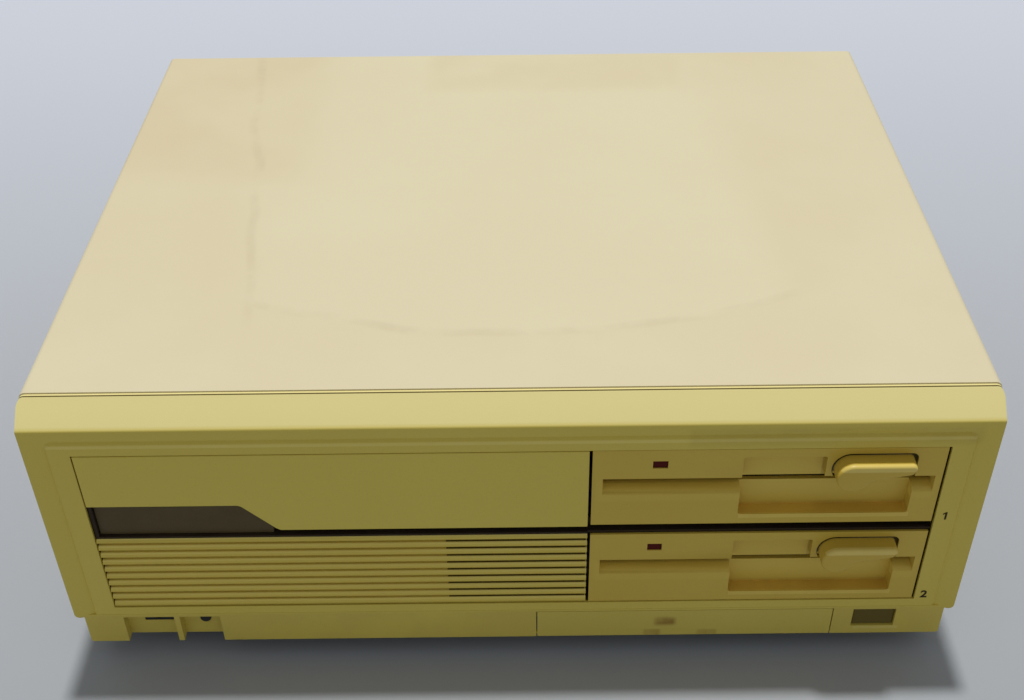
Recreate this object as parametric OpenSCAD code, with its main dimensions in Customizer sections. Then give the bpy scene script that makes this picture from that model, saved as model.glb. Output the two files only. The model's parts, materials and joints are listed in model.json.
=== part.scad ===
// Desktop home computer with two half-height 5.25 inch diskette drives.
//
// Every module draws in the case frame: X across from the middle, Y back from
// the front crease of the bezel, Z up from the underside of the plinth.
// in_case() moves that frame onto the origin of the whole part, which is the
// middle of its footprint at the soles of the feet. Drive pieces draw in the
// drive frame, whose corner is the lower left front corner of the drive's face.

/* [Case] */
// Width of the case
case_w = 398; // [390:1:420]
// Depth from the front crease of the bezel to the back edge of the cover
case_d = 325; // [322:1:350]
// Height from the underside of the plinth to the top of the cover
case_h = 138; // [137:1:150]
// Height of the rubber feet below the plinth
foot_h = 12; // [8:1:18]
// Thickness of the cover and chassis sheet
sheet_t = 1.2; // [0.8:0.1:1.6]
// Outer bend radius between the cover's top and its sides
cover_r = 3; // [2.5:0.5:7]
// How far the rear panel stands in from the cover's back edge
rear_inset = 5.8; // [4:0.2:8]
// How far the thumbscrews reach out behind the cover's back edge
rear_out = 2; // [1:0.5:4]

/* [Front bezel] */
// Depth of the bezel moulding
bezel_d = 24; // [22:1:30]
// Wall of the bezel moulding
bezel_wall = 2.6; // [2:0.2:3.2]
// Depth of the sloped band above the front crease
slope_d = 11; // [9:1:14]
// Drop from the cover's top to the front crease
slope_h = 10; // [8:1:16]
// Radius of the front crease
crease_r = 1.5; // [1:0.5:3]
// Strip of the bezel between its groove and the cover
strip_d = 2; // [1.6:0.1:4]
// Width and depth of the shadow groove round the bezel
groove_w = 0.6; // [0.4:0.1:1]
// Height of the plinth under the front frame
plinth_h = 17; // [16.5:0.5:19]
// Inset of the plinth's ends from the frame's
plinth_inset = 3.5; // [2:0.5:5]
// Setback of the plinth from the front crease
plinth_set = 1.5; // [0.5:0.25:2]
// Setback of the inner frame from the front crease
frame_set = 1.6; // [1:0.1:2]
// Extra depth of the sunk band round the inner frame
band_sink = 0.8; // [0.4:0.1:1.2]
// Width of the sunk band
band_w = 8.5; // [6:0.5:10]
// Frame width left of the opening
frame_left = 18.5; // [17:0.5:22]
// Frame width right of the opening
frame_right = 18.4; // [17:0.2:22]
// Radius of the frame's lower corners, beside the plinth
corner_r = 3; // [1:0.5:3]
// Joint gap between the bezel, the cover and the sheet parts
seam = 0.3; // [0.2:0.05:0.5]
// Joint gap round the front panels and the switch cover
panel_gap = 0.5; // [0.3:0.05:0.6]
// Gap between the drives and the right edge of the opening
drive_gap = 1.1; // [0.8:0.1:1.4]

/* [Front panels] */
// Height of the ribbed lower panel
ribbed_h = 42; // [40:0.5:43]
// Number of grooves in the ribbed panel
groove_n = 9; // [7:1:9]
// Pitch of the grooves
groove_pitch = 4.37; // [4:0.01:4.5]
// Width of one groove at its mouth
groove_mouth = 1.8; // [1.4:0.1:2.2]
// Depth of the grooves
groove_depth = 2; // [1.4:0.1:2.4]
// Length of the indicator window's top edge
window_w = 62; // [50:1:80]
// Height of the indicator window
window_h = 19.5; // [16:0.5:24]
// Run of the window's slanted end
window_slant = 15; // [10:1:20]
// Setback of the indicator window behind the panels' faces
window_set = 2.6; // [2.6:0.1:3.4]
// Setback of the dark strip behind the panels' faces
strip_set = 5.4; // [5:0.1:6]

/* [Plinth fittings] */
// Left edge of the connector bay, from the left end of the case
bay_x = 21; // [19:0.5:26]
// Width of the connector bay
bay_w = 44; // [42:1:50]
// Depth of the connector bay
bay_d = 5; // [5:0.25:7]
// Height of the bay's mouth
bay_h = 16; // [15.5:0.1:16.2]
// Rib between the two halves of the bay
bay_rib = 2.5; // [2:0.25:3]
// Width of the hinged switch cover
flap_w = 134.5; // [120:0.5:136]
// Height of the hinged switch cover
flap_h = 16.2; // [15:0.1:16.4]
// Thickness of the hinged switch cover
flap_t = 3; // [2.6:0.1:3.2]
// Gap from the switch cover's right end to the case's right end
flap_right = 54; // [52:1:58]
// Radius of the switch cover's hinge pins
flap_pin_r = 1; // [0.8:0.05:1.2]
// Width of the power button's opening
power_w = 19.5; // [16:0.5:21]
// Height of the power button's opening
power_h = 11; // [9:0.5:11.5]
// Gap from the power opening to the case's right end
power_right = 25; // [23:0.5:28]
// Travel of the power button
power_travel = 3; // [2:0.5:4]
// Radius of the reset button
reset_r = 2.4; // [2:0.1:2.6]
// Travel of the reset button
reset_travel = 1.5; // [1:0.25:2]

/* [Diskette drives] */
// Width of a drive
drive_w = 146; // [145:0.5:147]
// Height of a drive's face
drive_h = 42; // [41:0.5:42.5]
// Length of a drive behind the front of its face
drive_d = 203; // [200:1:204]
// Height of the lower drive's face above the plinth's underside
drive_z = 23; // [22.8:0.2:24]
// Pitch between the drives
drive_pitch = 48; // [46:0.5:49]
// Setback of the drive faces from the front crease
face_set = 2; // [1.5:0.25:3]
// Thickness of a drive's face
face_t = 8.5; // [8:0.25:10]
// Plastic left at each end of the disk slot
slot_end = 4.5; // [4:0.25:5]
// Height of the disk slot
slot_h = 4.8; // [4.6:0.1:5.2]
// Height of the disk slot's lower edge in the drive
slot_z = 19.6; // [19.4:0.1:20]
// Width of the finger pocket
pocket_w = 70; // [62:1:72]
// Depth of the finger pocket
pocket_d = 6.4; // [5:0.2:6.8]
// Lower edge of the finger pocket
pocket_z = 5.3; // [4.5:0.1:6]
// Depth of the recess over the slot
recess_d = 4.4; // [3.5:0.1:5]

/* [Drive levers] */
// Distance of a lever's shaft from the right end of the drive
lever_end = 39; // [38:0.5:42]
// Height of a lever's shaft in the drive
lever_z = 31; // [30.5:0.1:31.5]
// Radius of a lever's hub
hub_r = 7; // [6:0.25:7]
// Reach of a lever's blade from its shaft
lever_reach = 24.9; // [22:0.1:25]
// How far a lever stands out of the drive's face
lever_out = 8; // [6:0.5:10]
// Edge rounding of a lever
lever_edge = 1.2; // [0.8:0.1:1.6]
// Radius of a lever's shaft
shaft_r = 2.5; // [2:0.1:2.8]
// Rise of the clamping cam over the lever's quarter turn
cam_rise = 5.5; // [4:0.1:5.6]

/* [Drive mechanism] */
// Thickness of a drive frame's side walls
wall_t = 2.5; // [2:0.1:3]
// Height of the deck's underside in the drive
deck_z = 9; // [8.8:0.1:9.2]
// Thickness of the deck
deck_t = 2; // [1.6:0.1:2.2]
// Distance of the spindle behind the front of the face
spindle_y = 72; // [70:0.5:73]
// Radius of the spindle's shaft
spindle_r = 3; // [2.5:0.1:3.5]
// Radius of the motor's rotor
rotor_r = 38; // [34:0.5:40]
// Distance of the parked heads in front of the drive's back end
head_back = 74; // [73:0.5:75]
// Radius of the carriage's guide rails
rail_r = 2.2; // [1.8:0.1:2.4]
// Spacing of the guide rails
rail_gap = 36; // [34:0.5:37]
// Radius of the lead screw
screw_r = 2.5; // [2:0.1:2.6]
// Radius of the stepper motor
stepper_r = 17.5; // [15:0.5:17.5]
// Running clearance of shafts and rails, on the radius
run = 0.05; // [0.03:0.01:0.08]

/* [Power supply and fan] */
// Width of the power supply
psu_w = 146; // [140:1:150]
// Gap between the back of the drives and the power supply
psu_gap = 9.8; // [9:0.2:14]
// Height of the power supply
psu_h = 112; // [106:1:114]
// Side of the square fan frame
fan_w = 80; // [76:1:84]
// Depth of the fan frame
fan_d = 25; // [22:1:28]
// Height of the fan's axis above the plinth's underside
fan_z = 66; // [60:1:74]
// Number of fan blades
blade_n = 7; // [5:1:9]

/* [Expansion slots] */
// Number of expansion slots
slot_n = 4; // [3:1:4]
// Pitch of the expansion slots
slot_pitch = 24; // [22:0.5:24]
// Length of a slot cover
slot_cover_w = 160; // [156:1:164]
// Height of a slot cover
slot_cover_h = 20.5; // [18:0.5:21]
// Underside of the lowest slot cover
slot_cover_z = 38; // [37:0.5:40]

/* [Boards] */
// Thickness of the circuit boards
pcb_t = 1.6; // [1.2:0.1:2]
// Height of the main board's underside above the plinth's underside
board_z = 7; // [6.6:0.2:7.4]

/* [Hidden] */
$fn = 48;
cast = "#b9b7ae";
steel = "#b4b6b8";
beige = "#cdbd7f";
drive_tan = "#c4b078";
cover_beige = "#d9caa6";
black = "#26211c";
board_green = "#2f5a3a";
e = 0.01;

half_w = case_w / 2;
front_y = -(case_d + rear_out - lever_out + face_set) / 2;
crease_z = case_h - slope_h;
strip_top = case_h - sheet_t / 2;
cover_y = slope_d + strip_d;
open_x0 = -half_w + frame_left;
open_x1 = half_w - frame_right;
drive_x = open_x1 - drive_gap - drive_w;
open_z0 = drive_z - 0.5;
open_z1 = drive_z + drive_pitch + drive_h + 0.5;
panel_x1 = drive_x - 1.3;
ribbed_z0 = open_z0 + panel_gap;
strip_z0 = ribbed_z0 + ribbed_h + 0.2;
upper_z0 = drive_z + drive_pitch - 0.9;
window_z1 = strip_z0 + window_h;

plate_y = bezel_d;
inner_y = plate_y + sheet_t;
rear_y = case_d - rear_inset - sheet_t;
rear_face = rear_y + sheet_t;
floor_z = 1;
floor_top = floor_z + sheet_t;
tray_w = case_w - 2 * plinth_inset;

bay_x0 = -half_w + bay_x;
bay_x1 = bay_x0 + bay_w;
rib_x = bay_x0 + 23;
bay_y = plinth_set + bay_d;
bay_top = bay_h + 4.4;
socket_x = bay_x0 + 14.5;
socket_z = 14.5;
reset_x = bay_x1 - 8.2;
reset_z = 10;

flap_x1 = half_w - flap_right;
flap_x0 = flap_x1 - flap_w;
flap_axis_z = flap_t / 2 + 0.1;
flap_axis_y = plinth_set + flap_t / 2;
flap_back = plinth_set + flap_t;
power_x0 = half_w - power_right - power_w;
power_z = 5;

slot_x = slot_end;
slot_w = drive_w - 2 * slot_end;
slot_top = slot_z + slot_h;
pocket_x1 = drive_w - 13;
pocket_x = pocket_x1 - pocket_w;
lever_x = drive_w - lever_end;
spindle_x = drive_w / 2;
deck_top = deck_z + deck_t;
head_y = drive_d - head_back;
rail_z = deck_top + 3.8;
rail_y = head_y - 39;
hub_top = slot_z - 0.3;
arm_t = 1.2;
arm_top = lever_z - shaft_r - 0.15;
arm_y = head_y + 21;
arm_pin_r = 1.5;
arm_w = 10;
arm_span = 70;
cam_y = 43;
cam_w = 4;
screw_x = spindle_x + rail_gap / 2 + 9;
screw_z = 20;
bulkhead_y = drive_d - 26;
bulkhead_t = 3;
carriage_l = 57;
board_low = 1.2;
logic_y = spindle_y + 42;
logic_z = 3;
ribbon_x = 12;
ribbon_w = 44;

psu_x1 = half_w - 11;
psu_x0 = psu_x1 - psu_w;
psu_y1 = rear_y - 0.2;
psu_y0 = face_set + drive_d + psu_gap;
psu_d = psu_y1 - psu_y0;
fan_x = psu_x1 - fan_w / 2 - 4;
socket_block_x = psu_x0 + 32;

slots_x0 = -half_w + 13;
slots_x1 = slots_x0 + slot_cover_w;
cage_x1 = slots_x1 + 4;
backplane_y = rear_y - 152;
board_x0 = -half_w + 11;
board_x1 = drive_x - 6;
board_top = board_z + pcb_t;

DRIVE_PIECES = ["face", "lever", "lever_shaft", "frame", "clamp_arm",
    "hub_cone", "spindle", "motor_board", "head_carriage", "rails",
    "stepper", "lead_screw", "logic_board"];

// ---------------------------------------------------------------- helpers

module in_case() { translate([0, front_y, foot_h]) children(); }

// Drive 1 is the upper one.
module in_drive(n) {
    in_case() translate([drive_x, face_set, drive_z + (2 - n) * drive_pitch])
        children();
}

// A block between two corners.
module block(low, high) { translate(low) cube(high - low); }

// A flat shape drawn in X and Z, running from y0 to y1.
module along_y(y0, y1) {
    translate([0, y1, 0]) rotate([90, 0, 0]) linear_extrude(height = y1 - y0)
        children();
}

// A flat shape drawn in Y and Z, running from x0 to x1.
module along_x(x0, x1) {
    translate([x0, 0, 0]) rotate([90, 0, 90]) linear_extrude(height = x1 - x0)
        children();
}

// A round bar along Y through (x, z).
module rod_y(x, z, r, y0, y1) {
    translate([x, y1, z]) rotate([90, 0, 0]) cylinder(r = r, h = y1 - y0);
}

// A rectangle from corner to corner with true round corners.
module round_rect(x0, z0, x1, z1, r) {
    translate([x0 + r, z0]) square([x1 - x0 - 2 * r, z1 - z0]);
    translate([x0, z0 + r]) square([x1 - x0, z1 - z0 - 2 * r]);
    for (x = [x0 + r, x1 - r], z = [z0 + r, z1 - r]) translate([x, z]) circle(r = r);
}

// The case's outline from the front: square below, with bent top corners.
module case_outline(inset, z0, top, r) {
    half = half_w - inset;
    translate([-half, z0]) square([2 * half, top - r - z0]);
    translate([-half + r, z0]) square([2 * (half - r), top - z0]);
    for (side = [-1, 1]) translate([side * (half - r), top - r]) circle(r = r);
}

function arc(cx, cy, r, a0, a1, n) =
    [for (i = [0:n]) let (a = a0 + (a1 - a0) * i / n) [cx + r * cos(a), cy + r * sin(a)]];

// ------------------------------------------------------------------ cover

vent_n = 16;
vent_pitch = 7;
vent_y = 75;
vent_z = 40;
vent_h = 22;
cover_screw_y = [52, case_d - 40];
cover_screw_z = 26;

module top_cover() {
    color(cover_beige) in_case() difference() {
        union() {
            along_y(cover_y, case_d) difference() {
                case_outline(0, plinth_h, case_h, cover_r);
                case_outline(sheet_t, plinth_h - 1, case_h - sheet_t, cover_r - sheet_t);
            }
            cover_hems();
        }
        for (side = [-1, 1], i = [0:vent_n - 1])
            block([side * half_w - 3, vent_y + i * vent_pitch, vent_z],
                  [side * half_w + 3, vent_y + i * vent_pitch + 2.6, vent_z + vent_h]);
        for (side = [-1, 1], y = cover_screw_y)
            translate([side * (half_w + e), y, cover_screw_z])
                rotate([0, -side * 90, 0]) screw_cut();
    }
}

// The lower edges turn in to the chassis.
module cover_hems() {
    hem = plinth_inset - seam;
    for (side = [-1, 1])
        block([side > 0 ? half_w - hem : -half_w, bezel_d + seam, plinth_h],
              [side > 0 ? half_w : -half_w + hem, case_d, plinth_h + sheet_t]);
}

module screw_cut() {
    cylinder(r1 = 3.4, r2 = 1.9, h = sheet_t * 0.9);
    cylinder(r = 1.9, h = plinth_inset + 4);
}

module cover_screws() {
    color(steel) in_case() for (side = [-1, 1], y = cover_screw_y)
        translate([side * half_w, y, cover_screw_z]) rotate([0, -side * 90, 0])
            difference() {
                union() {
                    cylinder(r1 = 3.2, r2 = 1.75, h = sheet_t * 0.9);
                    cylinder(r = 1.75, h = plinth_inset + sheet_t);
                }
                for (turn = [0, 90]) rotate(turn)
                    translate([-1.7, -0.4, -e]) cube([3.4, 0.8, 0.6]);
            }
}

// ---------------------------------------------------------------- chassis

foot_x = 34;
foot_y = [46, case_d - 34];
foot_r = 11;

module base_chassis() {
    wall_x = tray_w / 2;
    side_h = 30;
    color(steel) in_case() difference() {
        union() {
            block([-wall_x, inner_y + seam, floor_z], [wall_x, rear_y, floor_top]);
            for (side = [-1, 1])
                block([side > 0 ? wall_x - sheet_t : -wall_x, inner_y + seam, floor_z],
                      [side > 0 ? wall_x : -wall_x + sheet_t, rear_y, side_h]);
            block([-wall_x, rear_y - sheet_t, floor_z], [wall_x, rear_y, floor_top + 4]);
            for (p = standoffs)
                translate([p[0], p[1], floor_top - e]) cylinder(r = 3, h = board_z - floor_top + e);
        }
        for (p = standoffs) translate([p[0], p[1], 0]) cylinder(r = 1.52, h = 12);
        for (side = [-1, 1], y = cover_screw_y)
            translate([side * (half_w + e), y, cover_screw_z])
                rotate([0, -side * 90, 0]) screw_cut();
        for (side = [-1, 1], y = foot_y)
            translate([side * (half_w - foot_x), y, 0]) cylinder(r = 2.1, h = 4);
        for (i = [0:7])
            block([psu_x0 + 12 + i * 16, psu_y0 + 20, 0],
                  [psu_x0 + 16 + i * 16, psu_y0 + 70, floor_top + 1]);
    }
}

standoffs = [for (x = [board_x0 + 12, board_x1 - 10], y = [inner_y + 14, rear_y - 130, rear_y - 32]) [x, y]];

module rubber_feet() {
    color(black) in_case() for (side = [-1, 1], y = foot_y)
        translate([side * (half_w - foot_x), y, -foot_h]) difference() {
            union() {
                cylinder(r1 = foot_r - 1.5, r2 = foot_r, h = foot_h - 1);
                translate([0, 0, foot_h - 1 - e]) cylinder(r = foot_r, h = 1 + floor_z);
            }
            translate([0, 0, -e]) cylinder(r = 5, h = foot_h - 3);
            cylinder(r = 2.1, h = foot_h + 3);
        }
}

module front_plate() {
    plate_w = half_w - plinth_inset - sheet_t - seam;
    color(steel) in_case() difference() {
        block([-plate_w, plate_y, floor_top], [plate_w, inner_y, case_h - sheet_t - 2.6]);
        block([drive_x - 2.4, plate_y - 1, drive_z - 3],
              [drive_x + drive_w + 2.4, inner_y + 1, drive_z + drive_pitch + drive_h + 3]);
        rod_y(speaker_x, speaker_z, speaker_r - 4, plate_y - 1, inner_y + 1);
        block([bay_x0 - 1, plate_y - 1, floor_top - 1], [bay_x1 + 1, inner_y + 1, bay_top + 2]);
        block([flap_x0 + 3, plate_y - 1, floor_top - 1], [flap_x1 - 3, inner_y + 1, plinth_h - 1]);
        block([power_x0 - 2, plate_y - 1, floor_top - 1],
              [power_x0 + power_w + 2, inner_y + 1, plinth_h + 2]);
        rod_y(open_x0 + 22, strip_z0 + 11, 2, plate_y - 1, inner_y + 1);
    }
}

// ------------------------------------------------------------- rear panel

connector_z = 21;
// Offset from the left end of the case, width and kind of each connector.
ports = [[24, 31, "mouse"], [66, 39, "analog"], [104, 20, "digital"],
         [148, 53, "serial"], [205, 48, "printer"]];

module rear_panel() {
    panel_w = tray_w / 2;
    color(cover_beige) in_case() difference() {
        block([-panel_w, rear_y, floor_z], [panel_w, rear_face, case_h - sheet_t - seam]);
        for (side = [-1, 1])
            block([side > 0 ? panel_w - 3 : -panel_w - 1, rear_y - 1, case_h - 6],
                  [side > 0 ? panel_w + 1 : -panel_w + 3, rear_face + 1, case_h]);
        for (i = [0:slot_n - 1]) let (z = slot_cover_z + i * slot_pitch)
            block([slots_x0 + 6, rear_y - 1, z + 2],
                  [slots_x1 - 6, rear_face + 1, z + slot_cover_h - 2]);
        for (i = [0:slot_n - 1], x = [slots_x0 + 3, slots_x1 - 3])
            rod_y(x, slot_cover_z + i * slot_pitch + slot_cover_h / 2, 1.6, rear_y - 1, rear_face + 2);
        for (p = ports) port_cut(p);
        along_y(rear_y - 1, rear_face + 1) translate([fan_x, fan_z]) grille();
        fan_holes(2.2, rear_y - 1, rear_face + 1);
        ac_cuts();
    }
}

// Ring slots of the fan grille, kept apart by four spokes.
module grille() {
    difference() {
        for (r = [10:7:fan_w / 2 - 4]) difference() {
            circle(r = r + 4);
            circle(r = r);
        }
        for (a = [45, 135]) rotate(a) square([fan_w, 3], center = true);
    }
}

module port_cut(p) {
    x = -half_w + p[0];
    w = p[1];
    if (p[2] == "digital") rod_y(x, connector_z, 8.2, rear_y - 1, rear_face + 1);
    else block([x - w / 2 + 6, rear_y - 1, connector_z - 5.6], [x + w / 2 - 6, rear_face + 1, connector_z + 5.6]);
}

// The ports stand on the main board and look out through the rear panel.
module rear_connectors() {
    color("#4a4a48") in_case() for (p = ports) port(-half_w + p[0], p[1], p[2]);
}

module port(x, w, kind) {
    y0 = rear_y - 14;
    block([x - w / 2 + 4, y0, board_top], [x + w / 2 - 4, rear_y - 0.2, connector_z + 7]);
    if (kind == "digital")
        difference() {
            rod_y(x, connector_z, 7.9, rear_y - 1, rear_face + 3);
            for (a = [-60:30:240]) rod_y(x + 4.5 * cos(a), connector_z + 4.5 * sin(a), 0.7, rear_face, rear_face + 4);
        }
    else {
        block([x - w / 2 + 6.3, rear_y - 1, connector_z - 5.3], [x + w / 2 - 6.3, rear_face + e, connector_z + 5.3]);
        block([x - w / 2, rear_face, connector_z - 6.2], [x + w / 2, rear_face + 0.8, connector_z + 6.2]);
        along_y(rear_face + 0.7, rear_face + 6) dsub(x, w - 14);
        for (side = [-1, 1]) rod_y(x + side * (w / 2 - 3.2), connector_z, 2, rear_face + 0.7, rear_face + 4.6);
    }
}

// A D-shaped connector face: slanted ends, with the wide side up.
module dsub(x, w) {
    translate([x, connector_z]) polygon([[-w / 2, 4], [w / 2, 4], [w / 2 - 2, -4], [-w / 2 + 2, -4]]);
}

inlet_z = 40;
outlet_z = 86;

module ac_cuts() {
    block([socket_block_x - 13.8, rear_y - 1, inlet_z - 10], [socket_block_x + 13.8, rear_face + 1, inlet_z + 10]);
    block([socket_block_x - 13.8, rear_y - 1, outlet_z - 10], [socket_block_x + 13.8, rear_face + 1, outlet_z + 10]);
}

module ac_sockets() {
    color(black) in_case() {
        difference() {
            ac_body(inlet_z);
            block([socket_block_x - 12, rear_face - 12, inlet_z - 8], [socket_block_x + 12, rear_face + 9, inlet_z + 8]);
        }
        for (x = [-7, 0, 7]) block([socket_block_x + x - 1, rear_face - 13, inlet_z - (x == 0 ? 4 : 1) - 1],
                                   [socket_block_x + x + 1, rear_face - 5, inlet_z - (x == 0 ? 4 : 1) + 3]);
        difference() {
            ac_body(outlet_z);
            for (side = [-1, 1])
                block([socket_block_x + side * 6.3 - 0.9, rear_face - 9, outlet_z - 3.5],
                      [socket_block_x + side * 6.3 + 0.9, rear_face + 9, outlet_z + 3.5]);
        }
    }
}

module ac_body(z) {
    block([socket_block_x - 13.5, rear_face - 20, z - 9.7], [socket_block_x + 13.5, rear_face + 1, z + 9.7]);
    difference() {
        block([socket_block_x - 22, rear_face, z - 11.5], [socket_block_x + 22, rear_face + 2.2, z + 11.5]);
        for (side = [-1, 1]) rod_y(socket_block_x + side * 18, z, 1.6, rear_face - 1, rear_face + 3);
    }
}

// ----------------------------------------------------------------- bezel

module front_bezel() {
    color(beige) in_case() difference() {
        union() {
            difference() {
                bezel_shell();
                sunk_band();
            }
            raised_frame();
            opening_collar();
            plinth_shell();
            bay_walls();
            flap_ears();
            power_collar();
        }
        block([open_x0, -1, open_z0], [open_x1, bezel_d + 1, open_z1]);
        bay_cut();
        block([flap_x0 - panel_gap, -1, -1], [flap_x1 + panel_gap, flap_back + 0.2, flap_h + panel_gap]);
        flap_pin_holes();
        power_cut();
    }
}

// Side section of the moulding, from the frame's foot over the crease to the
// strip in front of the cover. inset pulls the inner skin in by one wall.
module bezel_section(inset) {
    slope_a = atan2(strip_top - crease_z, slope_d);
    turn = (90 - slope_a) / 2;
    cx = crease_r;
    cz = crease_z - crease_r * tan(turn);
    polygon(concat(
        [[inset, plinth_h - (inset > 0 ? 30 : 0)]],
        inset > 0 ? [[inset, crease_z - inset * tan(turn)]]
                  : arc(cx, cz, crease_r, 180, 90 + slope_a, 6),
        [[slope_d + inset * tan(turn / 2), strip_top - inset],
         [cover_y + (inset > 0 ? bezel_d : 0), strip_top - inset],
         [cover_y + (inset > 0 ? bezel_d : 0), plinth_h - (inset > 0 ? 30 : 0)]]));
}

module bezel_shell() {
    tongue = sheet_t + seam;
    difference() {
        union() {
            intersection() {
                along_x(-half_w, half_w) bezel_section(0);
                along_y(-1, cover_y + 1) intersection() {
                    case_outline(0, plinth_h, strip_top, cover_r);
                    round_rect(-half_w, plinth_h, half_w, case_h + corner_r, corner_r);
                }
            }
            along_y(cover_y - e, bezel_d) case_outline(tongue, plinth_h, case_h - tongue, cover_r - sheet_t);
        }
        intersection() {
            along_x(-half_w, half_w) bezel_section(frame_set + bezel_wall);
            along_y(-1, bezel_d + 1)
                case_outline(tongue + bezel_wall, -5, case_h - tongue - bezel_wall, 2);
        }
        along_y(slope_d, slope_d + groove_w) difference() {
            case_outline(-1, plinth_h - 1, case_h + 1, cover_r);
            case_outline(groove_w, plinth_h - 2, strip_top - groove_w, cover_r - groove_w);
        }
    }
}

// The face sinks from the crease and the outer edges to the inner frame.
module sunk_band() {
    sink = frame_set + band_sink;
    hull() {
        block([-half_w + 0.4, -1, -5], [half_w - 0.4, 0, crease_z - 1]);
        along_y(sink - 0.1, sink) case_outline(band_w, -5, crease_z - band_w + 1, frame_r);
    }
}

frame_r = 4;

module raised_frame() {
    top = crease_z - band_w + 1;
    rise = 1.1;
    hull() {
        along_y(frame_set + band_sink, frame_set + band_sink + 0.3)
            case_outline(band_w, plinth_h, top, frame_r);
        along_y(frame_set, frame_set + 0.2)
            case_outline(band_w + rise, plinth_h, top - rise, frame_r - rise);
    }
}

module opening_collar() {
    w = 1.8;
    block([open_x0 - w, frame_set, open_z0 - w], [open_x1 + w, 14, open_z1 + w]);
}

module plinth_shell() {
    half = half_w - plinth_inset;
    r = 1.2;
    difference() {
        along_y(plinth_set, bezel_d) {
            translate([-half, r]) square([2 * half, plinth_h + 1 - r]);
            translate([-half + r, 0]) square([2 * (half - r), plinth_h + 1]);
            for (side = [-1, 1]) translate([side * (half - r), r]) circle(r = r);
        }
        block([-half + bezel_wall, plinth_set + bezel_wall, -1],
              [half - bezel_wall, bezel_d + 1, plinth_h + 3]);
    }
}

module bay_walls() {
    w = 2;
    block([bay_x0 - w, plinth_set + 1, 0], [bay_x1 + w, bay_y + w, bay_top + w - 0.2]);
}

module bay_cut() {
    for (half = [[bay_x0, rib_x], [rib_x + bay_rib, bay_x1]]) {
        block([half[0], -1, -1], [half[1], plinth_set + bezel_wall + 0.2, bay_h]);
        block([half[0], plinth_set + bezel_wall, -1], [half[1], bay_y, bay_top]);
    }
    block([socket_x - 6.7, bay_y - e, socket_z - 5.9], [socket_x + 6.7, bay_y + 3, socket_z + 5.9]);
    rod_y(reset_x, reset_z, reset_r + 2 * run, bay_y - 1, bay_y + 3);
}

// Ears at the flap's ends hold its hinge pins, and pads stop it when shut.
module flap_ears() {
    for (x = [flap_x0 - panel_gap - 3, flap_x1 + panel_gap])
        block([x, plinth_set, 0], [x + 3, 9, plinth_h]);
    block([flap_x0 - panel_gap - 3, 6, flap_h + panel_gap], [flap_x1 + panel_gap + 3, 9, plinth_h + 1.4]);
    for (x = [flap_x0 - panel_gap - 1, flap_x1 - 3])
        block([x, flap_back + 0.2, 10], [x + 4, 7, 14]);
}

module flap_pin_holes() {
    translate([flap_x0 - panel_gap - 2, flap_axis_y, flap_axis_z]) rotate([0, 90, 0])
        cylinder(r = flap_pin_r + run, h = flap_w + 2 * panel_gap + 4);
}

module power_collar() {
    w = 1.6;
    block([power_x0 - w, plinth_set, power_z - w], [power_x0 + power_w + w, 11, power_z + power_h + w - 0.6]);
}

module power_cut() {
    block([power_x0, -1, power_z], [power_x0 + power_w, 12, power_z + power_h]);
}

// ---------------------------------------------------------- front panels

boss_r = 3.5;

module panel_bosses(points) {
    for (p = points) difference() {
        rod_y(p[0], p[1], boss_r, frame_set + 3, plate_y - 0.1);
        rod_y(p[0], p[1], 1.3, frame_set + 8, plate_y + 1);
    }
}

module upper_front_panel() {
    x0 = open_x0 + panel_gap;
    top = open_z1 - panel_gap;
    bend = 4;
    win_x = x0 + window_w;
    rim = 1.6;
    color(beige) in_case() {
        along_y(frame_set, frame_set + 2.5) polygon(concat(
            [[x0, top], [x0, window_z1]],
            arc(win_x - bend / 2, window_z1 - bend, bend, 90, 45, 5),
            [[win_x + window_slant - 1, upper_z0 + 1.2], [win_x + window_slant + 1, upper_z0],
             [panel_x1, upper_z0], [panel_x1, top]]));
        for (z = [upper_z0, top - rim])
            block([z == upper_z0 ? win_x + window_slant + 3 : x0, frame_set + 2, z], [panel_x1, 12, z + rim]);
        block([x0, frame_set + 2, window_z1], [x0 + rim, 12, top]);
        block([panel_x1 - rim, frame_set + 2, upper_z0], [panel_x1, 12, top]);
        block([x0, frame_set + 2, window_z1], [win_x - 3, 6.4, window_z1 + rim]);
        panel_bosses([[x0 + 12, top - 10], [panel_x1 - 12, top - 10],
                      [-60, top - 10], [-60, upper_z0 + 10], [panel_x1 - 12, upper_z0 + 10]]);
    }
}

// Section of the ribbed panel: a flat back, and ribs with rounded noses.
function rib_section(back) =
    let (first = ribbed_h - (ribbed_h - (groove_n - 1) * groove_pitch) / 2 + 0.4,
         floor_w = groove_mouth - 0.7)
    concat([[back, 0], [0, 0]],
        [for (i = [groove_n - 1:-1:0]) let (z = first - i * groove_pitch) each [
            [0, z - groove_mouth / 2 - 0.5], [0.18, z - groove_mouth / 2 - 0.15],
            [0.6, z - groove_mouth / 2], [groove_depth, z - floor_w / 2],
            [groove_depth, z + floor_w / 2], [0.6, z + groove_mouth / 2],
            [0.18, z + groove_mouth / 2 + 0.15], [0, z + groove_mouth / 2 + 0.5]]],
        [[0, ribbed_h], [back, ribbed_h]]);

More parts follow.
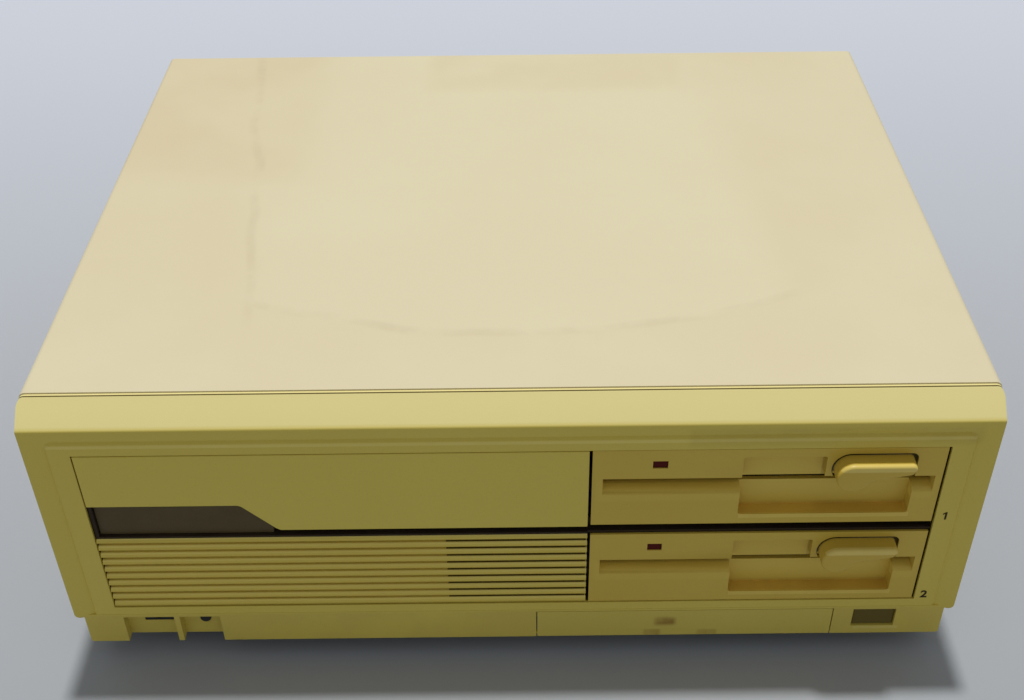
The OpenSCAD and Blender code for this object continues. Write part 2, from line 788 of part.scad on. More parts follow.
module ribbed_front_panel() {
    x0 = open_x0 + panel_gap;
    rim = 1.6;
    first = ribbed_h - (ribbed_h - (groove_n - 1) * groove_pitch) / 2 + 0.4;
    color(beige) in_case() {
        difference() {
            along_x(x0, panel_x1) translate([frame_set, ribbed_z0])
                polygon(rib_section(groove_depth + 1.8));
            for (i = [0:groove_n - 1])
                translate([speaker_x - 30, 0, ribbed_z0 + first - i * groove_pitch - 0.45])
                    cube([60, 10, 0.9]);
        }
        for (z = [ribbed_z0, ribbed_z0 + ribbed_h - rim])
            block([x0, frame_set + 3, z], [panel_x1, 12, z + rim]);
        for (x = [x0, panel_x1 - rim])
            block([x, frame_set + 3, ribbed_z0], [x + rim, 12, ribbed_z0 + ribbed_h]);
        panel_bosses([for (x = [x0 + 10, -70], z = [ribbed_z0 + 8, ribbed_z0 + ribbed_h - 8]) [x, z]]);
    }
}

module indicator_window() {
    x0 = open_x0 + panel_gap;
    y = frame_set + window_set;
    win_x = x0 + window_w;
    color("#3a2c22", 0.8) in_case() along_y(y, y + 2)
        polygon([[x0 + strip_side + 0.2, strip_z0 + 1.2], [x0 + strip_side + 0.2, window_z1 - 0.2],
                 [win_x - 1, window_z1 - 0.2],
                 [win_x + window_slant - 2.5, upper_z0 + 0.2], [win_x + window_slant - 2.5, strip_z0 + 1.2]]);
}

// A dark moulding borders the window's left end and foot, and runs on between
// the drives.
strip_side = 1.6;

module divider_strip() {
    x0 = open_x0 + panel_gap;
    y = frame_set + strip_set;
    wall_x = x0 + window_w + window_slant - 2.3;
    color(black) in_case() {
        block([x0, frame_set + 1, strip_z0 + 1 - e], [x0 + strip_side, frame_set + window_set + 2, window_z1 - 0.2]);
        block([x0, frame_set + window_set + 1, strip_z0], [x0 + strip_side, y + 2, strip_z0 + 4]);
        block([x0, frame_set + 1, strip_z0], [panel_x1, y + 2, strip_z0 + 1]);
        block([wall_x, y, strip_z0], [panel_x1, y + 2, upper_z0 - 0.1]);
        difference() {
            block([panel_x1 - e, frame_set + 1.6, drive_z + drive_h + 0.2],
                  [open_x1 - 0.1, y + 2, drive_z + drive_pitch - 0.2]);
            block([panel_x1 - 1, frame_set, drive_z + drive_h + 1.4],
                  [open_x1 + 1, y, drive_z + drive_pitch + 1]);
        }
    }
}

lamp_x = 25;
lamp_z = 32;
lamp_w = 6.3;
lamp_h = 4;

// One lamp behind the window, and one in each drive's face.
module indicator_lamps() {
    y = frame_set + window_set + 2.2;
    color("#7a1a12") {
        in_case() {
            rod_y(open_x0 + 22, strip_z0 + 11, 2.5, y, y + 6);
            block([open_x0 + 18, y + 5, strip_z0 + 7], [open_x0 + 26, plate_y - 0.1, strip_z0 + 15]);
        }
        for (n = [1, 2]) in_drive(n) {
            block([lamp_x + 0.1, 0.4, lamp_z + 0.1], [lamp_x + lamp_w - 0.1, face_t - 0.2, lamp_z + lamp_h - 0.1]);
        }
    }
}

// ------------------------------------------------------- plinth fittings

module switch_cover() {
    r = flap_t / 2;
    color(beige) in_case() {
        along_x(flap_x0, flap_x1) {
            translate([flap_axis_y, flap_axis_z]) circle(r = r);
            translate([flap_axis_y - r, flap_axis_z - r]) square(r);
            translate([flap_axis_y - r, flap_axis_z]) square([2 * r, flap_h - flap_axis_z]);
        }
        translate([flap_x0 - panel_gap - 1.7, flap_axis_y, flap_axis_z]) rotate([0, 90, 0])
            cylinder(r = flap_pin_r, h = flap_w + 2 * panel_gap + 3.4);
    }
}

module power_button() {
    gap = 0.3;
    cx = power_x0 + power_w / 2;
    cz = power_z + power_h / 2;
    color("#40382c") in_case() {
        block([power_x0 + gap, plinth_set + 0.9, power_z + gap],
              [power_x0 + power_w - gap, 10, power_z + power_h - gap]);
        block([cx - 3, 10 - e, cz - 3], [cx + 3, bezel_d + 2.5, cz + 3]);
    }
}

module reset_button() {
    color(black) in_case() {
        rod_y(reset_x, reset_z, reset_r, bay_y - 0.8, bay_y + 7);
        rod_y(reset_x, reset_z, reset_r + 1, bay_y + 2.2, bay_y + 3.4);
    }
}

module panel_switches() {
    cx = power_x0 + power_w / 2;
    cz = power_z + power_h / 2;
    color(black) in_case() {
        difference() {
            block([cx - 8, bezel_d + 0.1, floor_top], [cx + 8, bezel_d + 20, cz + 7]);
            block([cx - 3.2, bezel_d - 1, cz - 3.2], [cx + 3.2, bezel_d + 3 + power_travel, cz + 3.2]);
        }
        block([reset_x - 4, bay_y + 7.2 + reset_travel, floor_top], [reset_x + 4, bezel_d + 8, reset_z + 4]);
    }
}

// A round plug socket: a moulded block with a ring slot round its contacts.
module keyboard_socket() {
    color(black) in_case() {
        difference() {
            block([socket_x - 6.5, bay_y, socket_z - 5.7], [socket_x + 6.5, bezel_d + 3, socket_z + 5.7]);
            rod_y(socket_x, socket_z, 4.75, bay_y - 1, bay_y + 9);
        }
        difference() {
            rod_y(socket_x, socket_z, 3.6, bay_y + 0.4, bay_y + 9.5);
            for (a = [-40:40:220])
                rod_y(socket_x + 2.3 * cos(a), socket_z + 2.3 * sin(a), 0.45, bay_y, bay_y + 5);
        }
        block([socket_x - 6.5, bezel_d - 3, floor_top], [socket_x + 6.5, bezel_d + 12, socket_z - 5.7 + e]);
    }
}

speaker_r = 28;
speaker_x = panel_x1 - 35;
speaker_z = ribbed_z0 + ribbed_h / 2 + 1;

module speaker() {
    color("#3b3b3b") in_case() translate([speaker_x, inner_y + 0.1, speaker_z]) rotate([-90, 0, 0])
        rotate_extrude() polygon([[0, 5], [8, 5.4], [10, 6], [speaker_r - 5, 0.8], [speaker_r - 4, 0],
            [speaker_r, 0], [speaker_r, 1.4], [speaker_r - 3.4, 2.6], [14, 12], [14, 20], [0, 20]]);
}

// ----------------------------------------------------------------- boards

module main_board() {
    color(board_green) in_case() difference() {
        union() {
            block([board_x0, inner_y + 6, board_z], [board_x1, rear_y - 1.4, board_top]);
            block([board_x1 - 1, 12.5, board_z], [flap_x1 - 6, inner_y + 14, board_top]);
            block([board_x1 - 1, 130, board_z], [drive_x + 64, 172, board_top]);
            block([drive_x + 8, 155, board_top - e], [drive_x + 60, 164, board_top + 4]);
        }
        block([bay_x0 - 1, inner_y + 5, board_z - 1], [bay_x1 + 1, inner_y + 12, board_top + 1]);
        block([cage_x1 - 1, backplane_y - 8, board_z - 1], [cage_x1 + 3, backplane_y + 6, board_top + 1]);
        for (p = standoffs) translate([p[0], p[1], board_z - 1]) cylinder(r = 1.6, h = 4);
    }
}

// Width, depth, height and place of the larger packages, from the board's
// front left corner.
module chip(x, y, w, d, h) {
    translate([board_x0 + x, inner_y + y, board_top]) difference() {
        cube([w, d, h]);
        translate([w / 2, -e, h]) rotate([-90, 0, 0]) cylinder(r = min(w, d) / 8, h = 2);
    }
}

module main_board_chips() {
    color("#2b2b2d") in_case() {
        chip(90, 30, 62, 16, 4);
        chip(90, 58, 52, 14, 4);
        chip(30, 30, 30, 30, 3);
        chip(30, 70, 28, 28, 3);
        chip(170, 34, 28, 28, 3);
        for (i = [0:7]) chip(22 + i * 11.5, 106, 8, 20, 4);
        for (i = [0:5]) chip(122 + i * 14, 92, 10, 32, 4);
        for (i = [0:3]) chip(40 + i * 34, 190, 24, 10, 4);
        for (i = [0:2]) chip(50 + i * 46, 222, 34, 12, 4);
    }
}

// Three banks of ten slide switches look out behind the switch cover.
module dip_switches() {
    color("#8c2a20") in_case() for (bank = [0:2]) let (x = flap_x0 + 18 + bank * 36) {
        block([x, 14, board_top], [x + 26.5, 20, board_top + 6.2]);
        for (i = [0:9]) block([x + 1.2 + i * 2.5, 13, board_top + (i % 3 == 0 ? 3 : 1.6)],
                              [x + 2.6 + i * 2.5, 14 + e, board_top + (i % 3 == 0 ? 4.6 : 3.2)]);
    }
}

module expansion_backplane() {
    top = slot_cover_z + slot_n * slot_pitch - 6;
    color(board_green) in_case() {
        block([slots_x0 + 1, backplane_y, board_top + 0.1], [slots_x1 - 2, backplane_y + pcb_t, top]);
        for (i = [0:slot_n - 1]) let (z = slot_cover_z + i * slot_pitch + slot_cover_h / 2)
            difference() {
                block([slots_x0 + 6, backplane_y + pcb_t - e, z - 4.5], [slots_x1 - 8, backplane_y + 13, z + 4.5]);
                block([slots_x0 + 9, backplane_y + 6, z - 0.9], [slots_x1 - 11, backplane_y + 14, z + 0.9]);
            }
    }
}

cage_top = case_h - sheet_t - 2;
cage_wall_x = -tray_w / 2 + 2 * sheet_t + 0.3;

module card_cage() {
    x0 = -tray_w / 2 + sheet_t + 0.2;
    y0 = backplane_y - 4;
    color(steel) in_case() difference() {
        union() {
            block([cage_x1, y0, 33], [cage_x1 + sheet_t, rear_y - 0.2, cage_top]);
            block([cage_x1, y0 + 1, floor_top + 0.1], [cage_x1 + sheet_t, y0 + 7, 34]);
            block([x0, y0, floor_top + 9], [x0 + sheet_t, rear_y - 0.2, cage_top]);
            block([x0, y0, cage_top - sheet_t], [cage_x1 + sheet_t, y0 + 14, cage_top]);
            block([x0, rear_y - 14, cage_top - sheet_t], [cage_x1 + sheet_t, rear_y - 0.2, cage_top]);
        }
        for (i = [0:3]) block([cage_x1 - 1, y0 + 24 + i * 32, 60], [cage_x1 + 3, y0 + 44 + i * 32, 110]);
    }
}

// Grooved plastic guides carry the edges of the expansion cards.
module card_guides() {
    y0 = backplane_y + 16;
    color("#3a3a36") in_case() for (i = [0:slot_n - 1])
        let (z = slot_cover_z + i * slot_pitch + slot_cover_h / 2)
            for (side = [0, 1]) difference() {
                block([side == 0 ? cage_wall_x : cage_x1 - 7, y0, z - 3],
                      [side == 0 ? slots_x0 + 3.5 : cage_x1 - 0.1, rear_y - 6, z + 3]);
                block([side == 0 ? slots_x0 : cage_x1 - 8, y0 - 1, z - 1],
                      [side == 0 ? slots_x0 + 4 : cage_x1 - 3.6, rear_y, z + 1]);
            }
}

module slot_covers() {
    color(steel) in_case() for (i = [0:slot_n - 1]) let (z = slot_cover_z + i * slot_pitch)
        difference() {
            union() {
                block([slots_x0, rear_face + 0.1, z], [slots_x1, rear_face + 1.1, z + slot_cover_h]);
                along_x(slots_x0 + 12, slots_x1 - 12)
                    polygon([[rear_face + 1, z + 5], [rear_face + 2.4, z + 7],
                             [rear_face + 2.4, z + slot_cover_h - 7], [rear_face + 1, z + slot_cover_h - 5]]);
            }
            for (x = [slots_x0 + 3, slots_x1 - 3])
                rod_y(x, z + slot_cover_h / 2, 1.6, rear_face - 1, rear_face + 2);
        }
}

// Thumbscrews of the slot covers, the fan's screws and the main board's.
module panel_screws() {
    head = case_d + rear_out;
    color(steel) in_case() {
        for (i = [0:slot_n - 1], x = [slots_x0 + 3, slots_x1 - 3])
            let (z = slot_cover_z + i * slot_pitch + slot_cover_h / 2) {
                rod_y(x, z, 1.5, rear_y - 4, rear_face + 2);
                rod_y(x, z, 3, rear_face + 1.2, rear_face + 2.4);
                rod_y(x, z, 4.2, rear_face + 2.3, head);
            }
        for (sx = [-1, 1], sz = [-1, 1]) let (p = fan_w * 0.447) {
            rod_y(fan_x + sx * p, fan_z + sz * p, 1.9, rear_y - 8, rear_face + 0.5);
            rod_y(fan_x + sx * p, fan_z + sz * p, 3.8, rear_face + 0.1, rear_face + 2);
        }
        for (p = standoffs) translate([p[0], p[1], 0]) {
            translate([0, 0, board_top + 0.02]) cylinder(r = 3, h = 1.8);
            translate([0, 0, board_z - 3]) cylinder(r = 1.5, h = pcb_t + 3.2);
        }
    }
}

// ----------------------------------------------------------- power supply

module power_supply_case() {
    z0 = floor_top + 5;
    z1 = z0 + psu_h;
    w = 1;
    color(steel) in_case() difference() {
        union() {
            difference() {
                block([psu_x0, psu_y0, z0], [psu_x1, psu_y1, z1]);
                block([psu_x0 + w, psu_y0 + w, z0 + w], [psu_x1 - w, psu_y1 + 1, z1 - w]);
            }
            for (x = [psu_x0 + 12, psu_x1 - 12], y = [psu_y0 + 12, psu_y1 - 12])
                translate([x, y, floor_top + 0.1]) cylinder(r = 4, h = 5);
        }
        for (i = [0:11]) block([psu_x0 + 14 + i * 10, psu_y0 - 1, z0 + 20], [psu_x0 + 18 + i * 10, psu_y0 + 2, z1 - 20]);
        for (i = [0:6]) block([psu_x0 - 1, psu_y0 + 16 + i * 10, z0 + 30], [psu_x0 + 2, psu_y0 + 20 + i * 10, z1 - 30]);
    }
}

module power_supply_board() {
    z0 = floor_top + 11;
    y0 = psu_y0 + 4;
    y1 = psu_y1 - fan_d - 4;
    rear_row = y1 - 18;
    color("#8a7440") in_case() {
        block([psu_x0 + 3, y0, z0], [psu_x1 - 3, y1, z0 + pcb_t]);
        for (x = [psu_x0 + 12, psu_x1 - 12], y = [y0 + 8, y1 - 14])
            translate([x, y, floor_top + 6]) cylinder(r = 2.5, h = z0 - floor_top - 6 + e);
        for (x = [psu_x0 + 26, psu_x0 + 54]) translate([x, y0 + 14, z0 + 1]) cylinder(r = 11, h = 42);
        block([psu_x0 + 74, y0 + 10, z0 + 1], [psu_x0 + 108, y0 + 35, z0 + 36]);
        for (i = [0:4]) block([psu_x0 + 118 + i * 4, y0 + 8, z0 + 1], [psu_x0 + 119.6 + i * 4, y1 - 10, z0 + 50]);
        block([psu_x0 + 118, y0 + 8, z0 + 1], [psu_x0 + 135.6, y1 - 10, z0 + 6]);
        for (i = [0:3]) translate([psu_x0 + 20 + i * 18, rear_row + 3, z0 + 1]) cylinder(r = 6, h = 22);
    }
}

fan_hub_r = 18;
fan_shaft_r = 1.5;

module fan_holes(r, y0, y1) {
    for (sx = [-1, 1], sz = [-1, 1]) let (p = fan_w * 0.447)
        rod_y(fan_x + sx * p, fan_z + sz * p, r, y0, y1);
}

module fan_frame() {
    y1 = rear_y - 0.1;
    y0 = y1 - fan_d;
    half = fan_w / 2;
    color("#2c2c2c") in_case() {
        difference() {
            along_y(y0, y1) translate([fan_x, fan_z]) difference() {
                round_rect(-half, -half, half, half, 4);
                circle(r = half - 2);
            }
            fan_holes(2.1, y0 - 1, y1 + 1);
        }
        difference() {
            along_y(y1 - 4, y1) translate([fan_x, fan_z]) {
                circle(r = fan_hub_r - 1);
                for (a = [30, 150, 270]) rotate(a)
                    translate([fan_hub_r - 3, -1.5]) square([half - fan_hub_r + 2, 3]);
            }
            rod_y(fan_x, fan_z, fan_shaft_r + run, y0, y1 - 1);
        }
    }
}

// Each blade is a tilted slab trimmed to the ring between hub and frame.
module fan_rotor() {
    y1 = rear_y - 5;
    depth = fan_d - 7;
    color("#33312e") in_case() {
        difference() {
            rod_y(fan_x, fan_z, fan_hub_r, y1 - depth, y1);
            rod_y(fan_x, fan_z, fan_hub_r - 2.5, y1 - depth + 2.5, y1 + 1);
        }
        rod_y(fan_x, fan_z, fan_shaft_r, y1 - depth, y1 + 3);
        intersection() {
            difference() {
                rod_y(fan_x, fan_z, fan_w / 2 - 3.4, y1 - depth, y1);
                rod_y(fan_x, fan_z, fan_hub_r - 0.5, y1 - depth - 1, y1 + 1);
            }
            union() for (i = [0:blade_n - 1])
                translate([fan_x, y1 - depth / 2, fan_z]) rotate([0, i * 360 / blade_n, 0])
                    rotate([0, 0, 0]) translate([0, 0, fan_w / 4 + 5]) rotate([0, 0, 38])
                        cube([depth * 1.5, 1.6, fan_w / 2], center = true);
        }
    }
}

// -------------------------------------------------------------- drive cage

module drive_cage() {
    x0 = drive_x - 0.2 - sheet_t;
    x1 = drive_x + drive_w + 0.2;
    y0 = face_set + spindle_y - 34;
    y1 = face_set + drive_d - 7;
    z0 = drive_z - 3;
    z1 = drive_z + drive_pitch + drive_h - 0.5;
    color(steel) in_case() difference() {
        union() {
            for (x = [x0, x1]) {
                block([x, y0, z0], [x + sheet_t, y1, z1]);
                for (y = [y0 + 18, y1 - 14]) block([x, y, floor_top + 0.1], [x + sheet_t, y + 12, z0 + 1]);
            }
            block([x0, y0 + 20, z1 - e], [x1 + sheet_t, y0 + 44, z1 + sheet_t]);
            block([x0, y1 - 22, z1 - e], [x1 + sheet_t, y1 - 8, z1 + sheet_t]);
        }
        for (x = [x0, x1], n = [0, 1], y = drive_screw_y)
            translate([x - 1, face_set + y, drive_z + n * drive_pitch + drive_screw_z])
                rotate([0, 90, 0]) cylinder(r = 1.8, h = 4);
    }
}

// A flat cable drops behind both drives and turns forward to the main board.
module drive_ribbon_cable() {
    y = face_set + drive_d + 3.4;
    x0 = drive_x + ribbon_x;
    x1 = x0 + ribbon_w;
    t = 1.1;
    low = board_top + 4.1;
    top = drive_z + drive_pitch + 8;
    color("#8f8f8c") in_case() {
        along_x(x0, x1) polygon([[y - 52, low], [y + t, low], [y + t, top], [y, top],
                                 [y, low + t], [y - 52, low + t]]);
        for (n = [0, 1]) let (z = drive_z + n * drive_pitch + logic_z + pcb_t / 2)
            difference() {
                block([x0, y - 6, z - 3.4], [x1, y + e, z + 3.4]);
                block([x0 + 2, y - 7, z - 1], [x1 - 2, y - 1.6, z + 1]);
            }
    }
}

// ------------------------------------------------------------ drive: face

module drive_face(n) {
    color(drive_tan) in_drive(n) difference() {
        cube([drive_w, face_t, drive_h]);
        block([slot_x, -1, slot_z], [slot_x + slot_w, face_t + 1, slot_top]);
        along_y(-1, pocket_d) round_rect(pocket_x, pocket_z, pocket_x1, slot_top, 1.5);
        along_y(-1, recess_d - 0.4) round_rect(pocket_x, slot_z, pocket_x + 33.8, lever_z + hub_r - 0.5, 1);
        block([pocket_x + 33, -1, slot_z], [lever_x - hub_r + 2, recess_d - 0.4, slot_top + 2.4]);
        along_y(-1, recess_d) lever_clearance();
        for (x = [[slot_x, pocket_x + 1], [pocket_x1 - 1, slot_x + slot_w]])
            along_x(x[0], x[1]) polygon([[-1, slot_z - 2.5], [0, slot_z - 2.3], [0.5, slot_z - 1.5],
                [1.6, slot_z - 0.9], [pocket_d + 0.5, slot_z + 0.1], [pocket_d + 0.5, slot_top],
                [-1, slot_top]]);
        block([lamp_x, -1, lamp_z], [lamp_x + lamp_w, face_t + 1, lamp_z + lamp_h]);
        rod_y(lever_x, lever_z, shaft_r + run, 0, face_t + 1);
        for (z = [[2.6, slot_z - 3.5], [slot_top + 2.6, lamp_z - 1.6]])
            block([3, 2.6, z[0]], [pocket_x - 2.6, face_t + 1, z[1]]);
        block([lamp_x + lamp_w + 2, 2.6, lamp_z - 2], [pocket_x - 2.6, face_t + 1, drive_h - 2.6]);
    }
}

// The recess follows the lever's outline, shut and turned down, with a
// constant gap.
module lever_clearance() {
    gap = 0.9;
    tip = lever_x + lever_reach + gap;
    translate([lever_x, lever_z]) circle(r = hub_r + gap);
    translate([lever_x - hub_r + gap - 0.1, slot_z + 1]) square([hub_r, lever_z - slot_z - hub_r + 1.5]);
    translate([lever_x, slot_z + 1]) square([tip - lever_x - 3, lever_z + hub_r + gap - slot_z - 1]);
    translate([lever_x, slot_z + 1]) square([tip - lever_x, lever_z + hub_r + gap - slot_z - 4]);
    translate([tip - 3, lever_z + hub_r + gap - 3]) circle(r = 3);
}

// ----------------------------------------------------------- drive: lever

// The hub's circle runs through a hollow neck into the blade's slanted lower
// edge. The neck's centre lies one neck radius outside both.
module lever_outline(shrink) {
    tip_r = 2.2;
    heel_r = 1.8;
    neck_r = 6;
    slant = 11;
    tip = [lever_reach - tip_r, hub_r - tip_r];
    heel = [tip[0] - 0.4, hub_r - 3.4];
    edge = heel * [sin(slant), -cos(slant)] + heel_r;
    neck_a = slant - 90 + acos((edge + neck_r) / (hub_r + neck_r));
    neck = (hub_r + neck_r) * [cos(neck_a), sin(neck_a)];
    translate([lever_x, lever_z]) polygon(concat(
        arc(0, 0, hub_r - shrink, 90, 360 + neck_a, 30),
        arc(neck[0], neck[1], neck_r + shrink, neck_a + 180, slant + 90, 5),
        arc(heel[0], heel[1], heel_r - shrink, slant - 90, 0, 5),
        arc(tip[0], tip[1], tip_r - shrink, 0, 90, 5)));
}

// A round hub with a blade, and a softened front edge.
module drive_lever(n) {
    blade_back = 1.7;
    color(drive_tan) in_drive(n) difference() {
        union() {
            hull() {
                along_y(-lever_out + lever_edge, blade_back) lever_outline(0);
                along_y(-lever_out + 0.3 * lever_edge, 0) lever_outline(0.3 * lever_edge);
                along_y(-lever_out, 0) lever_outline(lever_edge);
            }
            rod_y(lever_x, lever_z, shaft_r + 2.2, blade_back - e, recess_d - 0.3);
        }
        rod_y(lever_x, lever_z, shaft_r + 0.02, -lever_out + 3, recess_d + 1);
    }
}

// The cam's reach downwards grows in step with the lever's turn, so the flat
// arm below it sinks by the same amount for every degree: a point of the
// profile is h n + h' t, with h = r0 + rise a / 90.
function cam_point(a) =
    let (h = shaft_r + 0.1 + cam_rise * a / 90, slope = cam_rise / 90 * 180 / PI)
    [h * sin(a) + slope * cos(a), -h * cos(a) + slope * sin(a)];

module drive_lever_shaft(n) {
    color(steel) in_drive(n) {
        rod_y(lever_x, lever_z, shaft_r, -lever_out + 3.1, cam_y + cam_w / 2 + 1);
        along_y(cam_y - cam_w / 2, cam_y + cam_w / 2) translate([lever_x, lever_z])
            polygon(concat([for (a = [0:10:90]) cam_point(a)],
                [[6, 4.4], [0, 3.4], [-2.8, 1.2], [-2.8, -1.2], [-1.4, -shaft_r - 0.1]]));
    }
}

// -------------------------------------------------------- drive: mechanism

post_x = [spindle_x - 44, spindle_x + 39];

guide_w = 6;
guide_y1 = head_y + 11;
guide_seat = 0.05;

// The casting is a deck between two side walls. Runners screwed to the walls
// above and below the slot guide the edges of the disk.
module drive_frame(n) {
    top = drive_h - 0.7;
    right = drive_w - wall_t;
    color(cast) in_drive(n) {
        difference() {
            union() {
                for (x = [0, right]) block([x, face_t, 0], [x + wall_t, drive_d, top]);
                block([wall_t - e, face_t, deck_z], [right + e, bulkhead_y + bulkhead_t, deck_top]);
                block([wall_t - e, face_t, 0], [right + e, face_t + 3, slot_z - 2]);
                block([wall_t - e, face_t, top - 3], [right + e, face_t + 5, top]);
                block([wall_t - e, drive_d - 7, top - 2.6], [right + e, drive_d, top]);
                spindle_boss();
                bulkhead();
                block([spindle_x - rail_gap / 2 - 7, rail_y, deck_z],
                      [spindle_x + rail_gap / 2 + 7, rail_y + 4.6, rail_z + rail_r + 0.8]);
                block([lever_x - 7, lever_bearing_y, lever_z - 4.5], [right + e, lever_bearing_y + 5, lever_z + 5]);
                arm_posts();
                board_stands();
            }
            translate([spindle_x, spindle_y, 0]) cylinder(r = spindle_r + run, h = 20);
            for (side = [-1, 1])
                rod_y(spindle_x + side * rail_gap / 2, rail_z, rail_r + 0.02, rail_y + 1, bulkhead_y + 5);
            rod_y(screw_x, screw_z, screw_r + run, bulkhead_y - 1, bulkhead_y + 5);
            rod_y(lever_x, lever_z, shaft_r + run, lever_bearing_y - 1, lever_bearing_y + 6);
            for (x = [-1, right - 1], y = drive_screw_y)
                translate([x, y, drive_screw_z]) rotate([0, 90, 0]) cylinder(r = 1.3, h = 4.4);
            block([wall_t + 17.5, face_t + 11.5, deck_z - 1], [wall_t + 41.5, spindle_y - 22, deck_top + 1]);
        }
        disk_runners();
    }
}

lever_bearing_y = cam_y - 13;
drive_screw_y = [spindle_y - 4, drive_d - 56];
drive_screw_z = 12;

module spindle_boss() {
    translate([spindle_x, spindle_y, deck_z - 0.4]) cylinder(r = 8, h = hub_top - 4.1 - deck_z);
}

// The upright wall at the deck's end carries the rails and the stepper.
module bulkhead() {
    block([spindle_x - 29, bulkhead_y, deck_z],
          [screw_x + stepper_r + 4.5, bulkhead_y + bulkhead_t, screw_z + 16]);
}

module arm_posts() {
    for (x = post_x) block([x, arm_y - 4, deck_z], [x + 5, arm_y + 4, arm_top + 2.4]);
    arm_pins();
}

module board_stands() {
    for (x = [22, drive_w - 22], y = [spindle_y - 44, spindle_y + 36])
        translate([x, y, board_low + pcb_t]) cylinder(r = 3, h = deck_z - board_low);
    for (x = [10, spindle_x + 1]) translate([x, logic_y + 5, logic_z + pcb_t]) cylinder(r = 3, h = deck_z - 4);
    block([wall_t - e, drive_d - 15, logic_z + pcb_t], [9, drive_d - 5, 8]);
}

module disk_runners() {
    for (z = [[slot_z - 3.6, slot_z - 0.1], [slot_top + 0.1, slot_top + 2]])
        for (x = [wall_t + guide_seat, drive_w - wall_t - guide_seat - guide_w])
            block([x, face_t + 3 + guide_seat, z[0]], [x + guide_w, guide_y1, z[1]]);
}

// Short pins on the posts carry the ends of the clamp arm.
module arm_pins() {
    z = arm_top - arm_t / 2;
    shoulder = spindle_x - arm_span / 2 - 0.3 - post_x[0];
    for (x = [post_x[0], post_x[1] + 5 - shoulder]) translate([x, arm_y, z]) rotate([0, 90, 0])
        cylinder(r = arm_pin_r + 0.9, h = shoulder);
    for (x = [post_x[0] + 4, post_x[1] - 14.5]) translate([x, arm_y, z]) rotate([0, 90, 0])
        cylinder(r = arm_pin_r, h = 15.5);
}

// A forked spring-steel arm carries the hub cone; the cam presses its tongue.
module drive_clamp_arm(n) {
    z1 = arm_top;
    z0 = arm_top - arm_t;
    left = spindle_x - arm_span / 2;
    right = spindle_x + arm_span / 2;
    color(steel) in_drive(n) difference() {
        union() {
            block([left, 50, z0], [right, 96, z1]);
            for (x = [left, right - arm_w]) {
                block([x, 95, z0], [x + arm_w, arm_y, z1]);
                translate([x, arm_y, (z0 + z1) / 2]) rotate([0, 90, 0]) cylinder(r = 2.8, h = arm_w);
            }
            block([lever_x - 8, cam_y - 4, z0], [lever_x + 9, 51, z1]);
            block([left, 50, z1 - e], [left + arm_t, 130, z1 + 3]);
        }
        translate([left - 1, arm_y, (z0 + z1) / 2]) rotate([0, 90, 0]) cylinder(r = arm_pin_r + run, h = arm_span + 2);
        translate([spindle_x, spindle_y, z0 - 1]) cylinder(r = 4.02, h = 4);
        for (side = [-1, 1]) translate([spindle_x + side * 24, spindle_y, z0 - 1]) cylinder(r = 5, h = 4);
    }
}

module drive_hub_cone(n) {
    bottom = slot_top - 0.1;
    top = arm_top - arm_t;
    color("#e8e4da") in_drive(n) translate([spindle_x, spindle_y, 0]) rotate_extrude()
        polygon([[0, bottom], [10, bottom], [12.5, bottom + 0.8], [14, bottom + 0.8], [15, top - 0.8],
                 [15, top - 0.02], [4, top - 0.02], [4, top + 2.6], [5, top + 2.6], [3.4, top + 4], [0, top + 4]]);
}

module drive_spindle(n) {
    rotor_z = board_low + pcb_t + 0.8;
    color("#8d8f92") in_drive(n) translate([spindle_x, spindle_y, 0]) rotate_extrude()
        polygon([[0, rotor_z], [rotor_r, rotor_z], [rotor_r, rotor_z + 4.2], [rotor_r - 1, rotor_z + 4.6],
                 [spindle_r, rotor_z + 4.6], [spindle_r, hub_top - 4], [17, hub_top - 4], [17, hub_top],
                 [14.2, hub_top], [12.6, hub_top - 2.2], [0, hub_top - 2.2]]);
}

module drive_motor_board(n) {
    color(board_green) in_drive(n) {
        block([18, spindle_y - 48, board_low], [drive_w - 18, spindle_y + 40, board_low + pcb_t]);
        for (i = [0:8]) translate([spindle_x, spindle_y, board_low + pcb_t - e]) rotate(i * 40)
            translate([24, 0, 0]) cylinder(r = 6.5, h = 0.5);
        block([26, spindle_y + 32, board_low + pcb_t - e], [44, spindle_y + 38, board_low + pcb_t + 3]);
    }
}

module drive_head_carriage(n) {
    y0 = head_y - 11;
    y1 = y0 + carriage_l;
    z0 = deck_top + 0.8;
    z1 = slot_z - 0.8;
    half = rail_gap / 2 + 5;
    color("#d8d4c8") in_drive(n) difference() {
        union() {
            block([spindle_x - half, y0, z0], [spindle_x + half, y1, z1]);
            block([spindle_x - 13, y1 - 14, z1 - e], [spindle_x + 13, y1, arm_top + 0.6]);
            block([spindle_x - 9, head_y - 7, slot_top + 1.4], [spindle_x + 9, y1 - 13, slot_top + 3.8]);
            translate([spindle_x, head_y, z1 - e]) cylinder(r = 3, h = 0.6);
            translate([spindle_x, head_y, slot_top - 0.3]) cylinder(r = 3, h = 2.2);
            block([spindle_x + 12, y1 - 14, z1 - 4], [screw_x + 7, y1, screw_z + 4]);
        }
        for (side = [-1, 1]) rod_y(spindle_x + side * rail_gap / 2, rail_z, rail_r + run, y0 - 1, y1 + 1);
        rod_y(screw_x, screw_z, screw_r + 0.08, y1 - 15, y1 + 1);
        block([spindle_x - 8, y0 + 22, z0 - 1], [spindle_x + 8, y1 - 18, z1 + 1]);
    }
}

module drive_rails(n) {
    color(steel) in_drive(n) for (side = [-1, 1])
        rod_y(spindle_x + side * rail_gap / 2, rail_z, rail_r, rail_y + 1.1, bulkhead_y + bulkhead_t);
}

